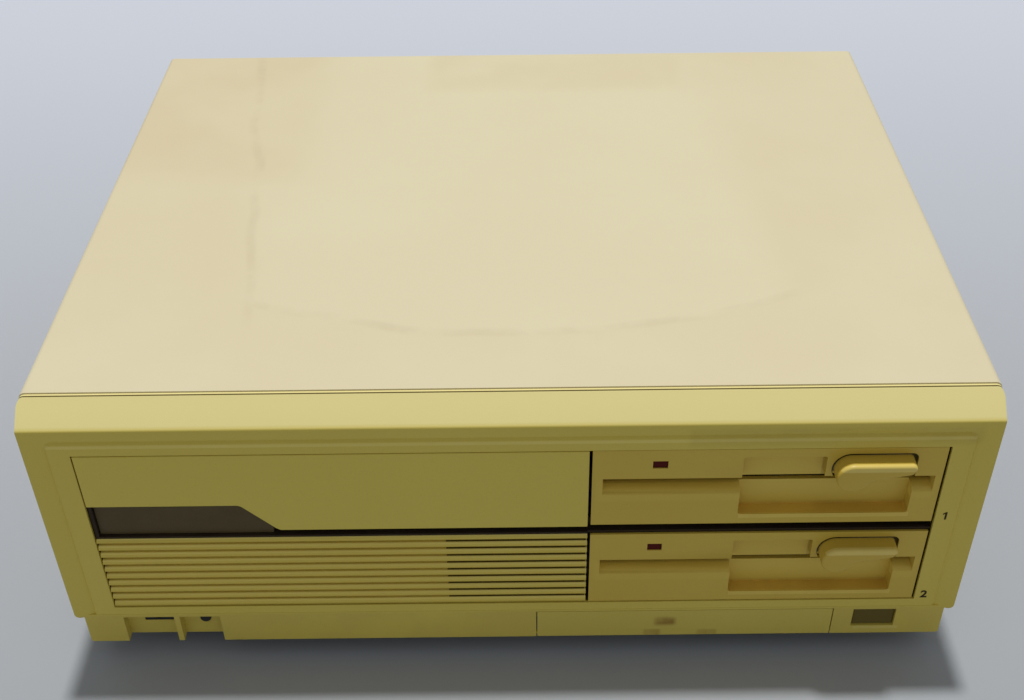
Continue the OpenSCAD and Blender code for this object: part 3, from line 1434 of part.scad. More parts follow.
module drive_stepper(n) {
    y0 = bulkhead_y + bulkhead_t + 0.1;
    color("#77787a") in_drive(n) difference() {
        union() {
            rod_y(screw_x, screw_z, stepper_r, y0, y0 + 20);
            rod_y(screw_x, screw_z, stepper_r - 5, y0 + 19, y0 + 21.5);
        }
        rod_y(screw_x, screw_z, screw_r + run, y0 - 1, y0 + 8);
    }
}

module drive_lead_screw(n) {
    color(steel) in_drive(n)
        rod_y(screw_x, screw_z, screw_r, arm_y - 11, bulkhead_y + bulkhead_t + 7);
}

module drive_logic_board(n) {
    z = logic_z;
    color(board_green) in_drive(n) {
        block([6, logic_y, z], [spindle_x + 5, drive_d - 5, z + pcb_t]);
        block([ribbon_x + 2.4, drive_d - 6, z], [ribbon_x + ribbon_w - 2.4, drive_d + 1.4, z + pcb_t]);
        for (i = [0:2], j = [0:1]) block([16 + i * 18, logic_y + 16 + j * 24, z + pcb_t - e],
                                         [28 + i * 18, logic_y + 32 + j * 24, z + pcb_t + 2.4]);
    }
}

// ------------------------------------------------------------------ nodes

top_cover();
base_chassis();
rear_panel();
front_plate();
front_bezel();
upper_front_panel();
ribbed_front_panel();
indicator_window();
divider_strip();
indicator_lamps();
switch_cover();
power_button();
reset_button();
panel_switches();
keyboard_socket();
rubber_feet();
cover_screws();
panel_screws();
slot_covers();
card_cage();
card_guides();
expansion_backplane();
main_board();
main_board_chips();
dip_switches();
power_supply_case();
power_supply_board();
fan_frame();
fan_rotor();
ac_sockets();
rear_connectors();
speaker();
drive_cage();
drive_ribbon_cable();
for (n = [1, 2]) {
    drive_face(n);
    drive_lever(n);
    drive_lever_shaft(n);
    drive_frame(n);
    drive_clamp_arm(n);
    drive_hub_cone(n);
    drive_spindle(n);
    drive_motor_board(n);
    drive_head_carriage(n);
    drive_rails(n);
    drive_stepper(n);
    drive_lead_screw(n);
    drive_logic_board(n);
}
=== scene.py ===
import json
import logging
import math
from dataclasses import dataclass
from enum import Enum
from typing import Callable, Mapping, Optional, Sequence, Union

import bmesh
import bpy
import numpy as np
from mathutils import Matrix, Vector

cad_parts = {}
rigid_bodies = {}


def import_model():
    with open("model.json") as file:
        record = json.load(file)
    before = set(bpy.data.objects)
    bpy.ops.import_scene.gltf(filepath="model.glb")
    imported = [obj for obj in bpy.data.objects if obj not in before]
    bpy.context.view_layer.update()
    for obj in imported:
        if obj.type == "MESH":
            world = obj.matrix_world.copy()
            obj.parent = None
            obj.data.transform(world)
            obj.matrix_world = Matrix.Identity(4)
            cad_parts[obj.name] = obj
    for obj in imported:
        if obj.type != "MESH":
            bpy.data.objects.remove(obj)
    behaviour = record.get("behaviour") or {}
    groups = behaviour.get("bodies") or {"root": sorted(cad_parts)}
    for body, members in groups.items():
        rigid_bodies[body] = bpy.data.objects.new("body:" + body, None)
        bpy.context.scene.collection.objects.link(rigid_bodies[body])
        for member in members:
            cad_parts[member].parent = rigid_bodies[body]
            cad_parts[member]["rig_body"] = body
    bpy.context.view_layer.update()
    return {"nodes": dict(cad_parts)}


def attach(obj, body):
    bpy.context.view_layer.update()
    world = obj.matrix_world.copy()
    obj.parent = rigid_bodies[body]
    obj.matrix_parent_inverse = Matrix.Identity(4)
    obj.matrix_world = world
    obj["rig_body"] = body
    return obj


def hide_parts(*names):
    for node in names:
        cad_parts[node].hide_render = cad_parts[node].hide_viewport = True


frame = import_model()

logging.basicConfig(level=logging.INFO, format="%(message)s")
LOG = logging.getLogger("computer")

# Lengths are in millimetres of the case frame: X from the middle, Y back from the bezel's front
# crease, Z up from the plinth's foot. MM turns them into metres.
MM = 0.001
FRONT_Y = -160.5     # the crease in the part's frame
FOOT_H = 12.0        # the plinth's foot above the floor
DRIVE_X = 33.5       # lower left front corner of the lower drive
FACE_SET = 2.0
DRIVE_Z = 23.0
DRIVE_PITCH = 48.0   # from one drive to the next
RIB_TOP = 61.88      # height of the middle of the ribbed panel's uppermost slot
RIB_PITCH = 4.37     # from one slot to the next

# How a copied solid is merged before its edges are rounded: metres and degrees.
MERGE_DISTANCE = 2e-6
MERGE_ANGLE = 0.6

# How close a vertex lies to the edge that is moved with it, in millimetres.
NEAR = 0.1

# The picture that the camera's focal length and shift are given in.
PICTURE_PX = 1024.0
SENSOR_MM = 36.0

Colour = tuple[float, float, float]
Point = tuple[float, float, float]
Value = Union["Signal", float, Sequence[float]]
Reshape = Callable[[np.ndarray], np.ndarray]


def in_case(points: np.ndarray) -> np.ndarray:
    """Turns millimetres in the case frame into metres in the part's frame.

    Args:
        points: an array whose last axis is X, Y back from the bezel's crease, Z up from the plinth.

    Returns:
        The same points, shifted to the part's origin and in metres.
    """
    return (np.asarray(points, float) + np.array([0.0, FRONT_Y, FOOT_H])) * MM


def drive_corner(number: int) -> np.ndarray:
    """The lower left front corner of drive 1 (upper) or 2 (lower), in case millimetres."""
    return np.array([DRIVE_X, FACE_SET, DRIVE_Z + (2 - number) * DRIVE_PITCH])


def in_drive(points: np.ndarray, number: int) -> np.ndarray:
    """Turns millimetres in a drive's own frame into metres in the part's frame.

    Args:
        points: an array whose last axis is X, Y, Z from the face's lower left front corner.
        number: 1 for the upper drive, 2 for the lower one.

    Returns:
        The same points in the part's frame, in metres.
    """
    return in_case(np.asarray(points, float) + drive_corner(number))


# --------------------------------------------------------------- shader maths


class Signal:
    """A node's output that adds Math nodes when it meets an operator."""

    def __init__(self, graph: "Graph", socket: bpy.types.NodeSocket) -> None:
        """Keeps the graph that the socket belongs to, and the socket."""
        self.graph = graph
        self.socket = socket

    def _math(self, operation: str, first: Value, second: Optional[Value] = None) -> "Signal":
        """Adds one Math node on one or two values and returns its output."""
        values = {0: first} if second is None else {0: first, 1: second}
        return self.graph.node("ShaderNodeMath", {"operation": operation}, values)

    def __add__(self, other: Value) -> "Signal":
        """Sum of two values."""
        return self._math("ADD", self, other)

    __radd__ = __add__

    def __sub__(self, other: Value) -> "Signal":
        """Difference of two values."""
        return self._math("SUBTRACT", self, other)

    def __rsub__(self, other: Value) -> "Signal":
        """Difference with the number on the left."""
        return self._math("SUBTRACT", other, self)

    def __mul__(self, other: Value) -> "Signal":
        """Product of two values."""
        return self._math("MULTIPLY", self, other)

    __rmul__ = __mul__

    def __pow__(self, other: Value) -> "Signal":
        """Power of a value."""
        return self._math("POWER", self, other)

    def most(self, other: Value) -> "Signal":
        """The larger of two values."""
        return self._math("MAXIMUM", self, other)

    def fraction(self) -> "Signal":
        """What is left of a value above the whole number below it."""
        return self._math("FRACT", self)

    def wave(self) -> "Signal":
        """Sine of a value in radians."""
        return self._math("SINE", self)

    def rise(self, low: float, high: float) -> "Signal":
        """A smooth step that is 0 below low and 1 above high."""
        return self.graph.node(
            "ShaderNodeMapRange", {"interpolation_type": "SMOOTHSTEP", "clamp": True},
            {"Value": self, "From Min": low, "From Max": high, "To Min": 0.0, "To Max": 1.0})

    def between(self, low: float, high: float, soft: float) -> "Signal":
        """A soft-edged band that is 1 from low to high and 0 a little outside."""
        return self.rise(low - soft, low) * (1.0 - self.rise(high, high + soft))


class Graph:
    """The node tree of one material."""

    def __init__(self, name: str) -> None:
        """Makes an empty material with an output node and object coordinates.

        Args:
            name: the material's name.
        """
        self.material = bpy.data.materials.new(name)
        self.material.use_nodes = True
        self.tree = self.material.node_tree
        self.tree.nodes.clear()
        self.output = self.tree.nodes.new("ShaderNodeOutputMaterial")
        self.place = self.node("ShaderNodeTexCoord", {}, {}, "Object")

    def node(self, kind: str, settings: Mapping[str, object],
             values: Mapping[Union[str, int], Value], output: Union[str, int] = 0) -> Signal:
        """Adds one node.

        Args:
            kind: the node's type.
            settings: properties set before the sockets.
            values: numbers, vectors, colours or signals for the input sockets, by name or index.
            output: the output socket to return.

        Returns:
            The chosen output as a signal.
        """
        node = self.tree.nodes.new(kind)
        for key, value in settings.items():
            setattr(node, key, value)
        for key, value in values.items():
            socket = node.inputs[key]
            if isinstance(value, Signal):
                self.tree.links.new(value.socket, socket)
            elif socket.type == "RGBA" and len(value) == 3:
                socket.default_value = (*value, 1.0)
            else:
                socket.default_value = value
        return Signal(self, node.outputs[output])

    def axes(self) -> tuple[Signal, Signal, Signal]:
        """The object coordinates as three signals, in metres."""
        parts = [self.node("ShaderNodeSeparateXYZ", {}, {0: self.place}, k) for k in ("X", "Y", "Z")]
        return parts[0], parts[1], parts[2]

    def stretched(self, scale: Point) -> Signal:
        """The object coordinates, scaled by a Mapping node."""
        return self.node("ShaderNodeMapping", {}, {"Vector": self.place, "Scale": scale})

    def noise(self, scale: float, detail: float = 2.0, rough: float = 0.5,
              where: Optional[Signal] = None) -> Signal:
        """Fractal noise from 0 to 1, with scale in cells per metre."""
        values = {"Vector": where or self.place, "Scale": scale, "Detail": detail, "Roughness": rough}
        return self.node("ShaderNodeTexNoise", {}, values)

    def mix(self, factor: Value, first: Value, second: Value) -> Signal:
        """Mixes two colours."""
        return self.node("ShaderNodeMix", {"data_type": "RGBA", "clamp_factor": True},
                         {0: factor, 6: first, 7: second}, 2)

    def bump(self, height: Signal, distance: float, strength: float = 1.0,
             below: Optional[Signal] = None) -> Signal:
        """A bumped normal from a height signal.

        Args:
            height: the relief, from 0 to 1.
            distance: the relief's depth in metres.
            strength: how much of it shows.
            below: a bumped normal that lies under this one.

        Returns:
            The normal.
        """
        values: dict[Union[str, int], Value] = {
            "Height": height, "Distance": distance, "Strength": strength}
        if below is not None:
            values["Normal"] = below
        return self.node("ShaderNodeBump", {}, values, "Normal")

    def finish(self, **sockets: Value) -> bpy.types.Material:
        """Adds the Principled shader.

        Args:
            sockets: its inputs by name, with underscores for spaces.

        Returns:
            The finished material.
        """
        values = {key.replace("_", " "): value for key, value in sockets.items()}
        shader = self.node("ShaderNodeBsdfPrincipled", {}, values)
        self.tree.links.new(shader.socket, self.output.inputs["Surface"])
        return self.material


# ------------------------------------------------------------------- finishes


def dimmed(colour: Colour, level: float) -> Colour:
    """A colour times a level."""
    return tuple(c * level for c in colour)


@dataclass(frozen=True)
class ColourPatch:
    """A patch of colour, used for real stains and for painted light and shade: a soft box in case
    millimetres, broken up by noise.
    """

    low: Point
    high: Point
    colour: Colour
    strength: float = 0.5
    soft: float = 4.0        # width of its edge in millimetres
    broken: float = 0.6      # share of it that the noise takes away
    grain: float = 90.0      # the noise's cells per metre

    def over(self, graph: Graph, colour: Value) -> Signal:
        """Mixes the patch over a colour.

        Args:
            graph: the material's graph.
            colour: the colour under the patch.

        Returns:
            The colour with the patch.
        """
        low, high = in_case(np.array(self.low)), in_case(np.array(self.high))
        mask: Value = 1.0
        for axis, a, b in zip(graph.axes(), low, high):
            mask = axis.between(float(a), float(b), self.soft * MM) * mask
        cloud = graph.noise(self.grain, 3.0, 0.6).rise(0.5 - 0.3 * self.broken, 0.7)
        mask = mask * (cloud * self.broken + (1.0 - self.broken)) * self.strength
        return graph.mix(mask, colour, self.colour)


@dataclass(frozen=True)
class MouldedPlastic:
    """Aged moulded plastic: a spark-eroded grain, uneven yellowing, stains and painted light and shade.
    """

    name: str
    colour: Colour
    aged: Colour
    rough: float = 0.42
    grain: float = 0.35
    colour_patches: tuple[ColourPatch, ...] = ()
    specular: float = 0.35
    cloud_scale: float = 9.0       # scales are in cells per metre
    mottle_scale: float = 260.0
    dust_scale: float = 1400.0
    skin_scale: float = 2600.0
    swell_scale: float = 22.0
    dust: float = 0.10

    def material(self) -> bpy.types.Material:
        """Builds the finish.

        Returns:
            The material: clouds of yellowing, dust, stains and painted light and shade over a bumped
                grain.
        """
        g = Graph(self.name)
        cloud = g.noise(self.cloud_scale, 3.0, 0.55).rise(0.3, 0.7)
        mottle = g.noise(self.mottle_scale, 2.0, 0.5)
        colour: Value = g.mix(cloud * 0.75 + mottle * 0.25, self.colour, self.aged)
        dust = g.noise(self.dust_scale, 1.0, 0.5).rise(0.62, 0.72)
        colour = g.mix(dust * self.dust, colour, dimmed(self.colour, 0.55))
        colour = self.tinted(g, colour)
        for colour_patch in self.colour_patches:
            colour = colour_patch.over(g, colour)
        skin = g.noise(self.skin_scale, 2.0, 0.6)
        swell = g.noise(self.swell_scale, 1.0, 0.4)
        normal = g.bump(swell, 0.0006, 0.25)
        normal = g.bump(skin, 0.00012, self.grain, normal)
        rough = (mottle * 0.12 + cloud * 0.06) + (self.rough - 0.08)
        return g.finish(Base_Color=colour, Roughness=rough, Normal=normal,
                        Specular_IOR_Level=self.specular)

    def tinted(self, g: Graph, colour: Value) -> Value:
        """The colour under the patches; a plain moulding keeps it as it is."""
        return colour


@dataclass(frozen=True)
class RibbedPlastic(MouldedPlastic):
    """Moulded plastic in horizontal ribs, with a painted highlight on their crests and painted shade at
    their feet.
    """

    mouth: float = RIB_TOP
    pitch: float = RIB_PITCH
    # Painted highlight on each rib's crest and painted shade at each rib's foot, by height within the
    # rib.
    crest_highlight: Colour = (0.96, 0.79, 0.20)
    crest_highlight_band: tuple[float, float, float] = (0.14, 0.32, 0.12)
    foot: Colour = (0.52, 0.38, 0.035)
    foot_shade_band: tuple[float, float] = (0.45, 0.82)
    foot_shade_strength: float = 0.85

    def tinted(self, g: Graph, colour: Value) -> Value:
        """Tints each rib by how far down it a point lies, from 0 to 1 between two slots.

        Args:
            g: the material's graph.
            colour: the colour so far.

        Returns:
            The colour with a painted highlight on the crests and painted shade at the feet.
        """
        z = g.axes()[2]
        down = ((z * -1.0 + (self.mouth + FOOT_H) * MM) * (1.0 / (self.pitch * MM))).fraction()
        uneven = g.noise(30.0, 2.0, 0.5, g.stretched((0.3, 1.0, 1.0))).rise(0.2, 0.8) * 0.5 + 0.5
        colour = g.mix(down.between(*self.crest_highlight_band) * uneven, colour, self.crest_highlight)
        return g.mix(down.rise(*self.foot_shade_band) * self.foot_shade_strength, colour, self.foot)


@dataclass(frozen=True)
class Footprint:
    """The mark of a monitor's foot: clean inside, browner outside, a faint line at its bowed front.

    Its front is an arc about a centre far back, its sides lean a little, and both waver. Lengths
    are in metres of the part's frame.
    """

    centre: tuple[float, float] = (0.003, 0.1855)
    radius: tuple[float, float] = (0.292, 0.299)     # where the foot's front fades out
    sides: tuple[float, float] = (-0.112, 0.100)
    side_soft: float = 0.030
    lean: float = 0.12
    waver: float = 0.010
    soiled: Colour = (0.72, 0.595, 0.375)
    soiled_strength: float = 0.42
    front_line: tuple[float, float] = (0.2945, 0.2965)
    front_ends: tuple[float, float] = (-0.122, 0.112)
    side_line: tuple[float, float] = (-0.1265, -0.1250)
    side_ends: tuple[float, float] = (0.15, 0.297)
    line: Colour = (0.50, 0.40, 0.24)
    line_strength: float = 0.17
    waver_scale: float = 20.0        # scales are in cells per metre
    soiled_scale: float = 7.0
    line_scale: float = 45.0

    def over(self, graph: Graph, colour: Value) -> Signal:
        """Mixes the mark over a colour.

        Args:
            graph: the material's graph.
            colour: the colour under the mark.

        Returns:
            The marked colour.
        """
        x, y, _ = graph.axes()
        middle, back = self.centre
        wander = (graph.noise(self.waver_scale, 2.0, 0.5) - 0.5) * self.waver
        away = ((x - middle) * (x - middle) + (y - back) * (y - back)) ** 0.5 + wander
        across = (x + y * self.lean) + wander
        inside = across.between(*self.sides, self.side_soft) * (1.0 - away.rise(*self.radius))
        patchy = graph.noise(self.soiled_scale, 4.0, 0.6).rise(0.30, 0.75)
        outside = (1.0 - inside) * (patchy * 0.8 + 0.2) * self.soiled_strength
        colour = graph.mix(outside, colour, self.soiled)
        front = away.between(*self.front_line, 0.003) * across.between(*self.front_ends, 0.012)
        side = across.between(*self.side_line, 0.003) * away.between(*self.side_ends, 0.02)
        line = front.most(side) * graph.noise(self.line_scale, 3.0, 0.65).rise(0.30, 0.70)
        return graph.mix(line * self.line_strength, colour, self.line)


@dataclass(frozen=True)
class PaintedSteel:
    """Baked enamel on sheet steel: fine orange peel, soft clouds and handling marks."""

    name: str
    colour: Colour
    aged: Colour
    rough: float = 0.5
    marks: tuple[Union[ColourPatch, Footprint], ...] = ()
    cloud_scale: float = 5.0       # scales are in cells per metre
    cloud_stretch: Point = (1.0, 1.3, 1.0)
    mottle_scale: float = 120.0
    speck_scale: float = 900.0
    peel_scale: float = 1500.0
    swell_scale: float = 14.0

    def material(self) -> bpy.types.Material:
        """Builds the finish.

        Returns:
            The material: clouds, marks and specks over an orange peel.
        """
        g = Graph(self.name)
        clouded = g.noise(self.cloud_scale, 3.0, 0.5, g.stretched(self.cloud_stretch))
        cloud = clouded.rise(0.32, 0.68)
        mottle = g.noise(self.mottle_scale, 3.0, 0.6)
        colour: Value = g.mix(cloud * 0.8 + mottle * 0.2, self.colour, self.aged)
        for mark in self.marks:
            colour = mark.over(g, colour)
        specks = g.noise(self.speck_scale, 1.0, 0.5).rise(0.70, 0.76)
        colour = g.mix(specks * 0.12, colour, dimmed(self.colour, 0.6))
        swell = g.bump(g.noise(self.swell_scale, 1.0, 0.4), 0.0008, 0.2)
        normal = g.bump(g.noise(self.peel_scale, 2.0, 0.55), 0.00008, 0.35, swell)
        rough = mottle * 0.14 + (self.rough - 0.07)
        return g.finish(Base_Color=colour, Roughness=rough, Normal=normal, Specular_IOR_Level=0.3)


@dataclass(frozen=True)
class DarkPlastic:
    """Dark moulded plastic or rubber with dust on it."""

    name: str
    colour: Colour
    rough: float = 0.45
    dust: float = 0.12
    grain: float = 0.3
    dust_colour: Colour = (0.22, 0.19, 0.14)
    specular: float = 0.35
    cloud_scale: float = 60.0      # scales are in cells per metre
    speck_scale: float = 1800.0
    grain_scale: float = 2200.0

    def material(self) -> bpy.types.Material:
        """Builds the finish.

        Returns:
            The material: dust in clouds and specks over a fine grain.
        """
        g = Graph(self.name)
        cloud = g.noise(self.cloud_scale, 4.0, 0.6).rise(0.35, 0.75)
        specks = g.noise(self.speck_scale, 1.0, 0.5).rise(0.62, 0.74)
        colour = g.mix((cloud * 0.7 + specks * 0.3) * self.dust, self.colour, self.dust_colour)
        normal = g.bump(g.noise(self.grain_scale, 2.0, 0.6), 0.0001, self.grain)
        return g.finish(Base_Color=colour, Roughness=cloud * 0.15 + self.rough, Normal=normal,
                        Specular_IOR_Level=self.specular)


class Lay(Enum):
    """The direction in which a metal's surface was brushed or rolled."""

    ALONG_X = (1.0, 40.0, 40.0)
    ALONG_Y = (40.0, 1.0, 40.0)
    ALONG_Z = (40.0, 40.0, 1.0)
    NONE = (1.0, 1.0, 1.0)


@dataclass(frozen=True)
class BareMetal:
    """Zinc-plated, rolled or cast metal, with spangle and a brushed lay."""

    name: str
    colour: Colour
    rough: float = 0.35
    lay: Lay = Lay.NONE
    spangle: float = 0.35
    flake_scale: float = 180.0     # scales are in cells per metre
    streak_scale: float = 60.0
    tarnish_scale: float = 35.0

    def material(self) -> bpy.types.Material:
        """Builds the finish.

        Returns:
            The material: spangle and streaks in its tone, and a patchy tarnish.
        """
        g = Graph(self.name)
        cells = {"Vector": g.place, "Scale": self.flake_scale}
        flakes = g.node("ShaderNodeTexVoronoi", {}, cells, "Color")
        flake = g.node("ShaderNodeSeparateColor", {}, {0: flakes}, "Red")
        streaks = g.noise(self.streak_scale, 3.0, 0.6, g.stretched(self.lay.value))
        tone = flake * self.spangle + streaks * (1.0 - self.spangle)
        colour = g.mix(tone, dimmed(self.colour, 0.72), self.colour)
        tarnish = g.noise(self.tarnish_scale, 4.0, 0.6).rise(0.55, 0.75)
        colour = g.mix(tarnish * 0.25, colour, dimmed(self.colour, 0.5))
        normal = g.bump(streaks, 0.00006, 0.4)
        return g.finish(Base_Color=colour, Metallic=1.0, Roughness=tone * 0.2 + self.rough,
                        Normal=normal)


@dataclass(frozen=True)
class Laminate:
    """A circuit board: solder mask over copper tracks, with pads and a weave."""

    name: str
    mask: Colour = (0.02, 0.11, 0.05)
    track: Colour = (0.05, 0.24, 0.10)
    pad: Colour = (0.55, 0.52, 0.42)
    track_turns: float = 1900.0    # radians per metre across the tracks
    track_bend: tuple[float, float] = (0.012, 0.010)     # in metres, of the rows and the lines
    bend_scale: float = 28.0       # scales are in cells per metre
    patch_scale: float = 42.0
    pad_scale: float = 320.0

    def material(self) -> bpy.types.Material:
        """Builds the finish.

        Returns:
            The material: tracks run across in some patches and along in the others, under pads.
        """
        g = Graph(self.name)
        x, y, z = g.axes()
        bend = g.noise(self.bend_scale, 0.0, 0.5)
        rows = ((x + bend * self.track_bend[0]) * self.track_turns).wave().rise(0.55, 0.75)
        lines = ((y + z + bend * self.track_bend[1]) * self.track_turns).wave().rise(0.55, 0.75)
        patches = g.noise(self.patch_scale, 1.0, 0.5).rise(0.49, 0.51)
        tracks = rows * patches + lines * (1.0 - patches)
        dots = g.node("ShaderNodeTexVoronoi", {},
                      {"Vector": g.place, "Scale": self.pad_scale, "Randomness": 0.15}, "Distance")
        pads = 1.0 - dots.rise(0.16, 0.22)
        colour = g.mix(tracks * 0.8, self.mask, self.track)
        colour = g.mix(pads * 0.9, colour, self.pad)
        normal = g.bump(tracks + pads, 0.00005, 0.6)
        return g.finish(Base_Color=colour, Roughness=0.35 + pads * -0.1, Metallic=pads * 0.8,
                        Normal=normal)


@dataclass(frozen=True)
class Smoked:
    """Smoked acrylic: dark, glossy, faintly hazed and dusty."""

    name: str
    colour: Colour = (0.105, 0.076, 0.032)
    hazed: Colour = (0.17, 0.125, 0.06)
    haze_scale: float = 45.0       # scales are in cells per metre
    speck_scale: float = 1500.0

    def material(self) -> bpy.types.Material:
        """Builds the finish.

        Returns:
            The material: haze and specks of dust over the dark sheet.
        """
        g = Graph(self.name)
        haze = g.noise(self.haze_scale, 4.0, 0.65).rise(0.3, 0.8)
        specks = g.noise(self.speck_scale, 1.0, 0.5).rise(0.64, 0.72)
        colour = g.mix(haze * 0.35 + specks * 0.15, self.colour, self.hazed)
        return g.finish(Base_Color=colour, Roughness=haze * 0.12 + 0.30, Alpha=0.96,
                        Normal=g.bump(specks, 0.00003, 0.3), Specular_IOR_Level=0.15)


@dataclass(frozen=True)
class Lens:
    """An unlit coloured lamp lens with moulded ripples."""

    name: str
    colour: Colour = (0.09, 0.008, 0.005)
    ripple_turns: float = 9000.0   # radians per metre across the ripples
    haze_scale: float = 400.0      # cells per metre

    def material(self) -> bpy.types.Material:
        """Builds the finish.

        Returns:
            The material: a grid of ripples, sine of x times sine of z, in its tone and relief.
        """
        g = Graph(self.name)
        x, _, z = g.axes()
        ripple = (x * self.ripple_turns).wave() * (z * self.ripple_turns).wave()
        colour = g.mix(ripple.rise(0.0, 1.0) * 0.4, self.colour, dimmed(self.colour, 0.4))
        haze = g.noise(self.haze_scale).rise(0.2, 0.8)
        return g.finish(Base_Color=colour, Roughness=haze * 0.1 + 0.40,
                        Normal=g.bump(ripple, 0.00008, 0.3), Specular_IOR_Level=0.08)


# ------------------------------------------------------------------- geometry


def mesh_piece(name: str, points: np.ndarray, faces: Sequence[Sequence[int]],
               smooth: float = 35.0) -> bpy.types.Object:
    """Makes an object from vertices in metres and faces, smooth up to an edge angle.

    Args:
        name: the piece's name.
        points: an (n, 3) array in metres.
        faces: vertex indices of each face.
        smooth: edges that bend by more than this many degrees stay sharp.

    Returns:
        The new object, linked to the scene.
    """
    mesh = bpy.data.meshes.new(name)
    corners = np.asarray(points, float).reshape(-1, 3).tolist()
    mesh.from_pydata(corners, [], [list(map(int, f)) for f in faces])
    mesh.validate()
    return adopt(name, mesh, smooth)


def adopt(name: str, mesh: bpy.types.Mesh, smooth: float) -> bpy.types.Object:
    """Links a mesh as an object, with outward faces and sharp edges by angle.

    Args:
        name: the object's name.
        mesh: a closed mesh in metres.
        smooth: edges that bend by more than this many degrees stay sharp.

    Returns:
        The new object.
    """
    work = bmesh.new()
    work.from_mesh(mesh)
    bmesh.ops.recalc_face_normals(work, faces=work.faces)
    work.to_mesh(mesh)
    work.free()
    mesh.shade_smooth()
    mesh.set_sharp_from_angle(angle=math.radians(smooth))
    piece = bpy.data.objects.new(name, mesh)
    bpy.context.scene.collection.objects.link(piece)
    return piece


def grid_faces(rows: int, columns: int, wrap: bool) -> np.ndarray:
    """Quads of a grid whose point (i, j) has index i * columns + j.

    Args:
        rows: how many rows of points.
        columns: how many points in each row.
        wrap: whether the last column joins the first.

    Returns:
        An (n, 4) array of vertex indices.
    """
    i = np.arange(rows - 1)[:, None]
    j = np.arange(columns if wrap else columns - 1)[None, :]
    k = (j + 1) % columns
    here, there = i * columns, (i + 1) * columns
    quads = np.stack(np.broadcast_arrays(here + j, here + k, there + k, there + j), axis=-1)
    return quads.reshape(-1, 4)


def loft(name: str, rings: np.ndarray, smooth: float = 35.0) -> bpy.types.Object:
    """A closed solid through rings of points, with its two ends capped.

    Args:
        name: the piece's name.
        rings: an (m, n, 3) array of m rings of n points each, in metres.
        smooth: edge angle that stays sharp, in degrees.

    Returns:
        The new object.
    """
    rows, columns = rings.shape[:2]
    faces = [list(f) for f in grid_faces(rows, columns, True)]
    faces.append(list(range(columns))[::-1])
    faces.append(list(range((rows - 1) * columns, rows * columns)))
    return mesh_piece(name, rings.reshape(-1, 3), faces, smooth)


@dataclass(frozen=True)
class Softening:
    """How a solid's edges are rounded: width in millimetres, facets, and the least edge angle."""

    width: float = 0.5
    segments: int = 3
    angle: float = 30.0
    smooth: float = 30.0


def reshaped(mesh: bpy.types.Mesh, reshape: Reshape) -> None:
    """Moves a mesh's vertices.

    Args:
        mesh: the mesh, in metres of the part's frame.
        reshape: gives each vertex's new place from its old one, both in case millimetres.
    """
    points = np.empty(len(mesh.vertices) * 3)
    mesh.vertices.foreach_get("co", points)
    case = points.reshape(-1, 3) / MM - np.array([0.0, FRONT_Y, FOOT_H])
    mesh.vertices.foreach_set("co", in_case(reshape(case)).ravel())


def softened(node: str, edge: Softening = Softening(),
             reshape: Optional[Reshape] = None) -> bpy.types.Object:
    """A copy of a node's solid with merged facets and rounded edges, which replaces the node.

    Args:
        node: the node's name.
        edge: how its edges are rounded.
        reshape: a small correction of its outline, from case coordinates to case coordinates.

    Returns:
        The new object, riding on the node's body.
    """
    mesh = frame["nodes"][node].data.copy()
    mesh.materials.clear()
    work = bmesh.new()
    work.from_mesh(mesh)
    bmesh.ops.remove_doubles(work, verts=work.verts, dist=MERGE_DISTANCE)
    bmesh.ops.dissolve_limit(work, angle_limit=math.radians(MERGE_ANGLE), verts=work.verts,
                             edges=work.edges)
    work.to_mesh(mesh)
    work.free()
    if reshape is not None:
        reshaped(mesh, reshape)
    mesh.shade_smooth()
    mesh.set_sharp_from_angle(angle=math.radians(edge.smooth))
    piece = bpy.data.objects.new(f"{node}_skin", mesh)
    bpy.context.scene.collection.objects.link(piece)
    bevel = piece.modifiers.new("edges", "BEVEL")
    bevel.width = edge.width * MM
    bevel.segments = edge.segments
    bevel.limit_method = "ANGLE"
    bevel.angle_limit = math.radians(edge.angle)
    bevel.harden_normals = True
    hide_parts(node)
    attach(piece, frame["nodes"][node]["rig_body"])
    return piece


def dress(piece: bpy.types.Object, slot: str, material: bpy.types.Material) -> bpy.types.Object:
    """Gives a new piece its one material.

    Args:
        piece: the piece.
        slot: the record's name for its material.
        material: the finish.

    Returns:
        The same piece.
    """
    piece.data.materials.clear()
    piece.data.materials.append(material)
    LOG.info("%s has %s", piece.name, slot)
    return piece


def repaint(node: str, material: bpy.types.Material) -> None:
    """Gives a kept CAD node its material.

    Args:
        node: the node's name.
        material: the finish.
    """
    target = frame["nodes"][node]
    if not target.material_slots:
        target.data.materials.append(material)
    for slot in target.material_slots:
        slot.material = material


# ---------------------------------------------------------------- the palette


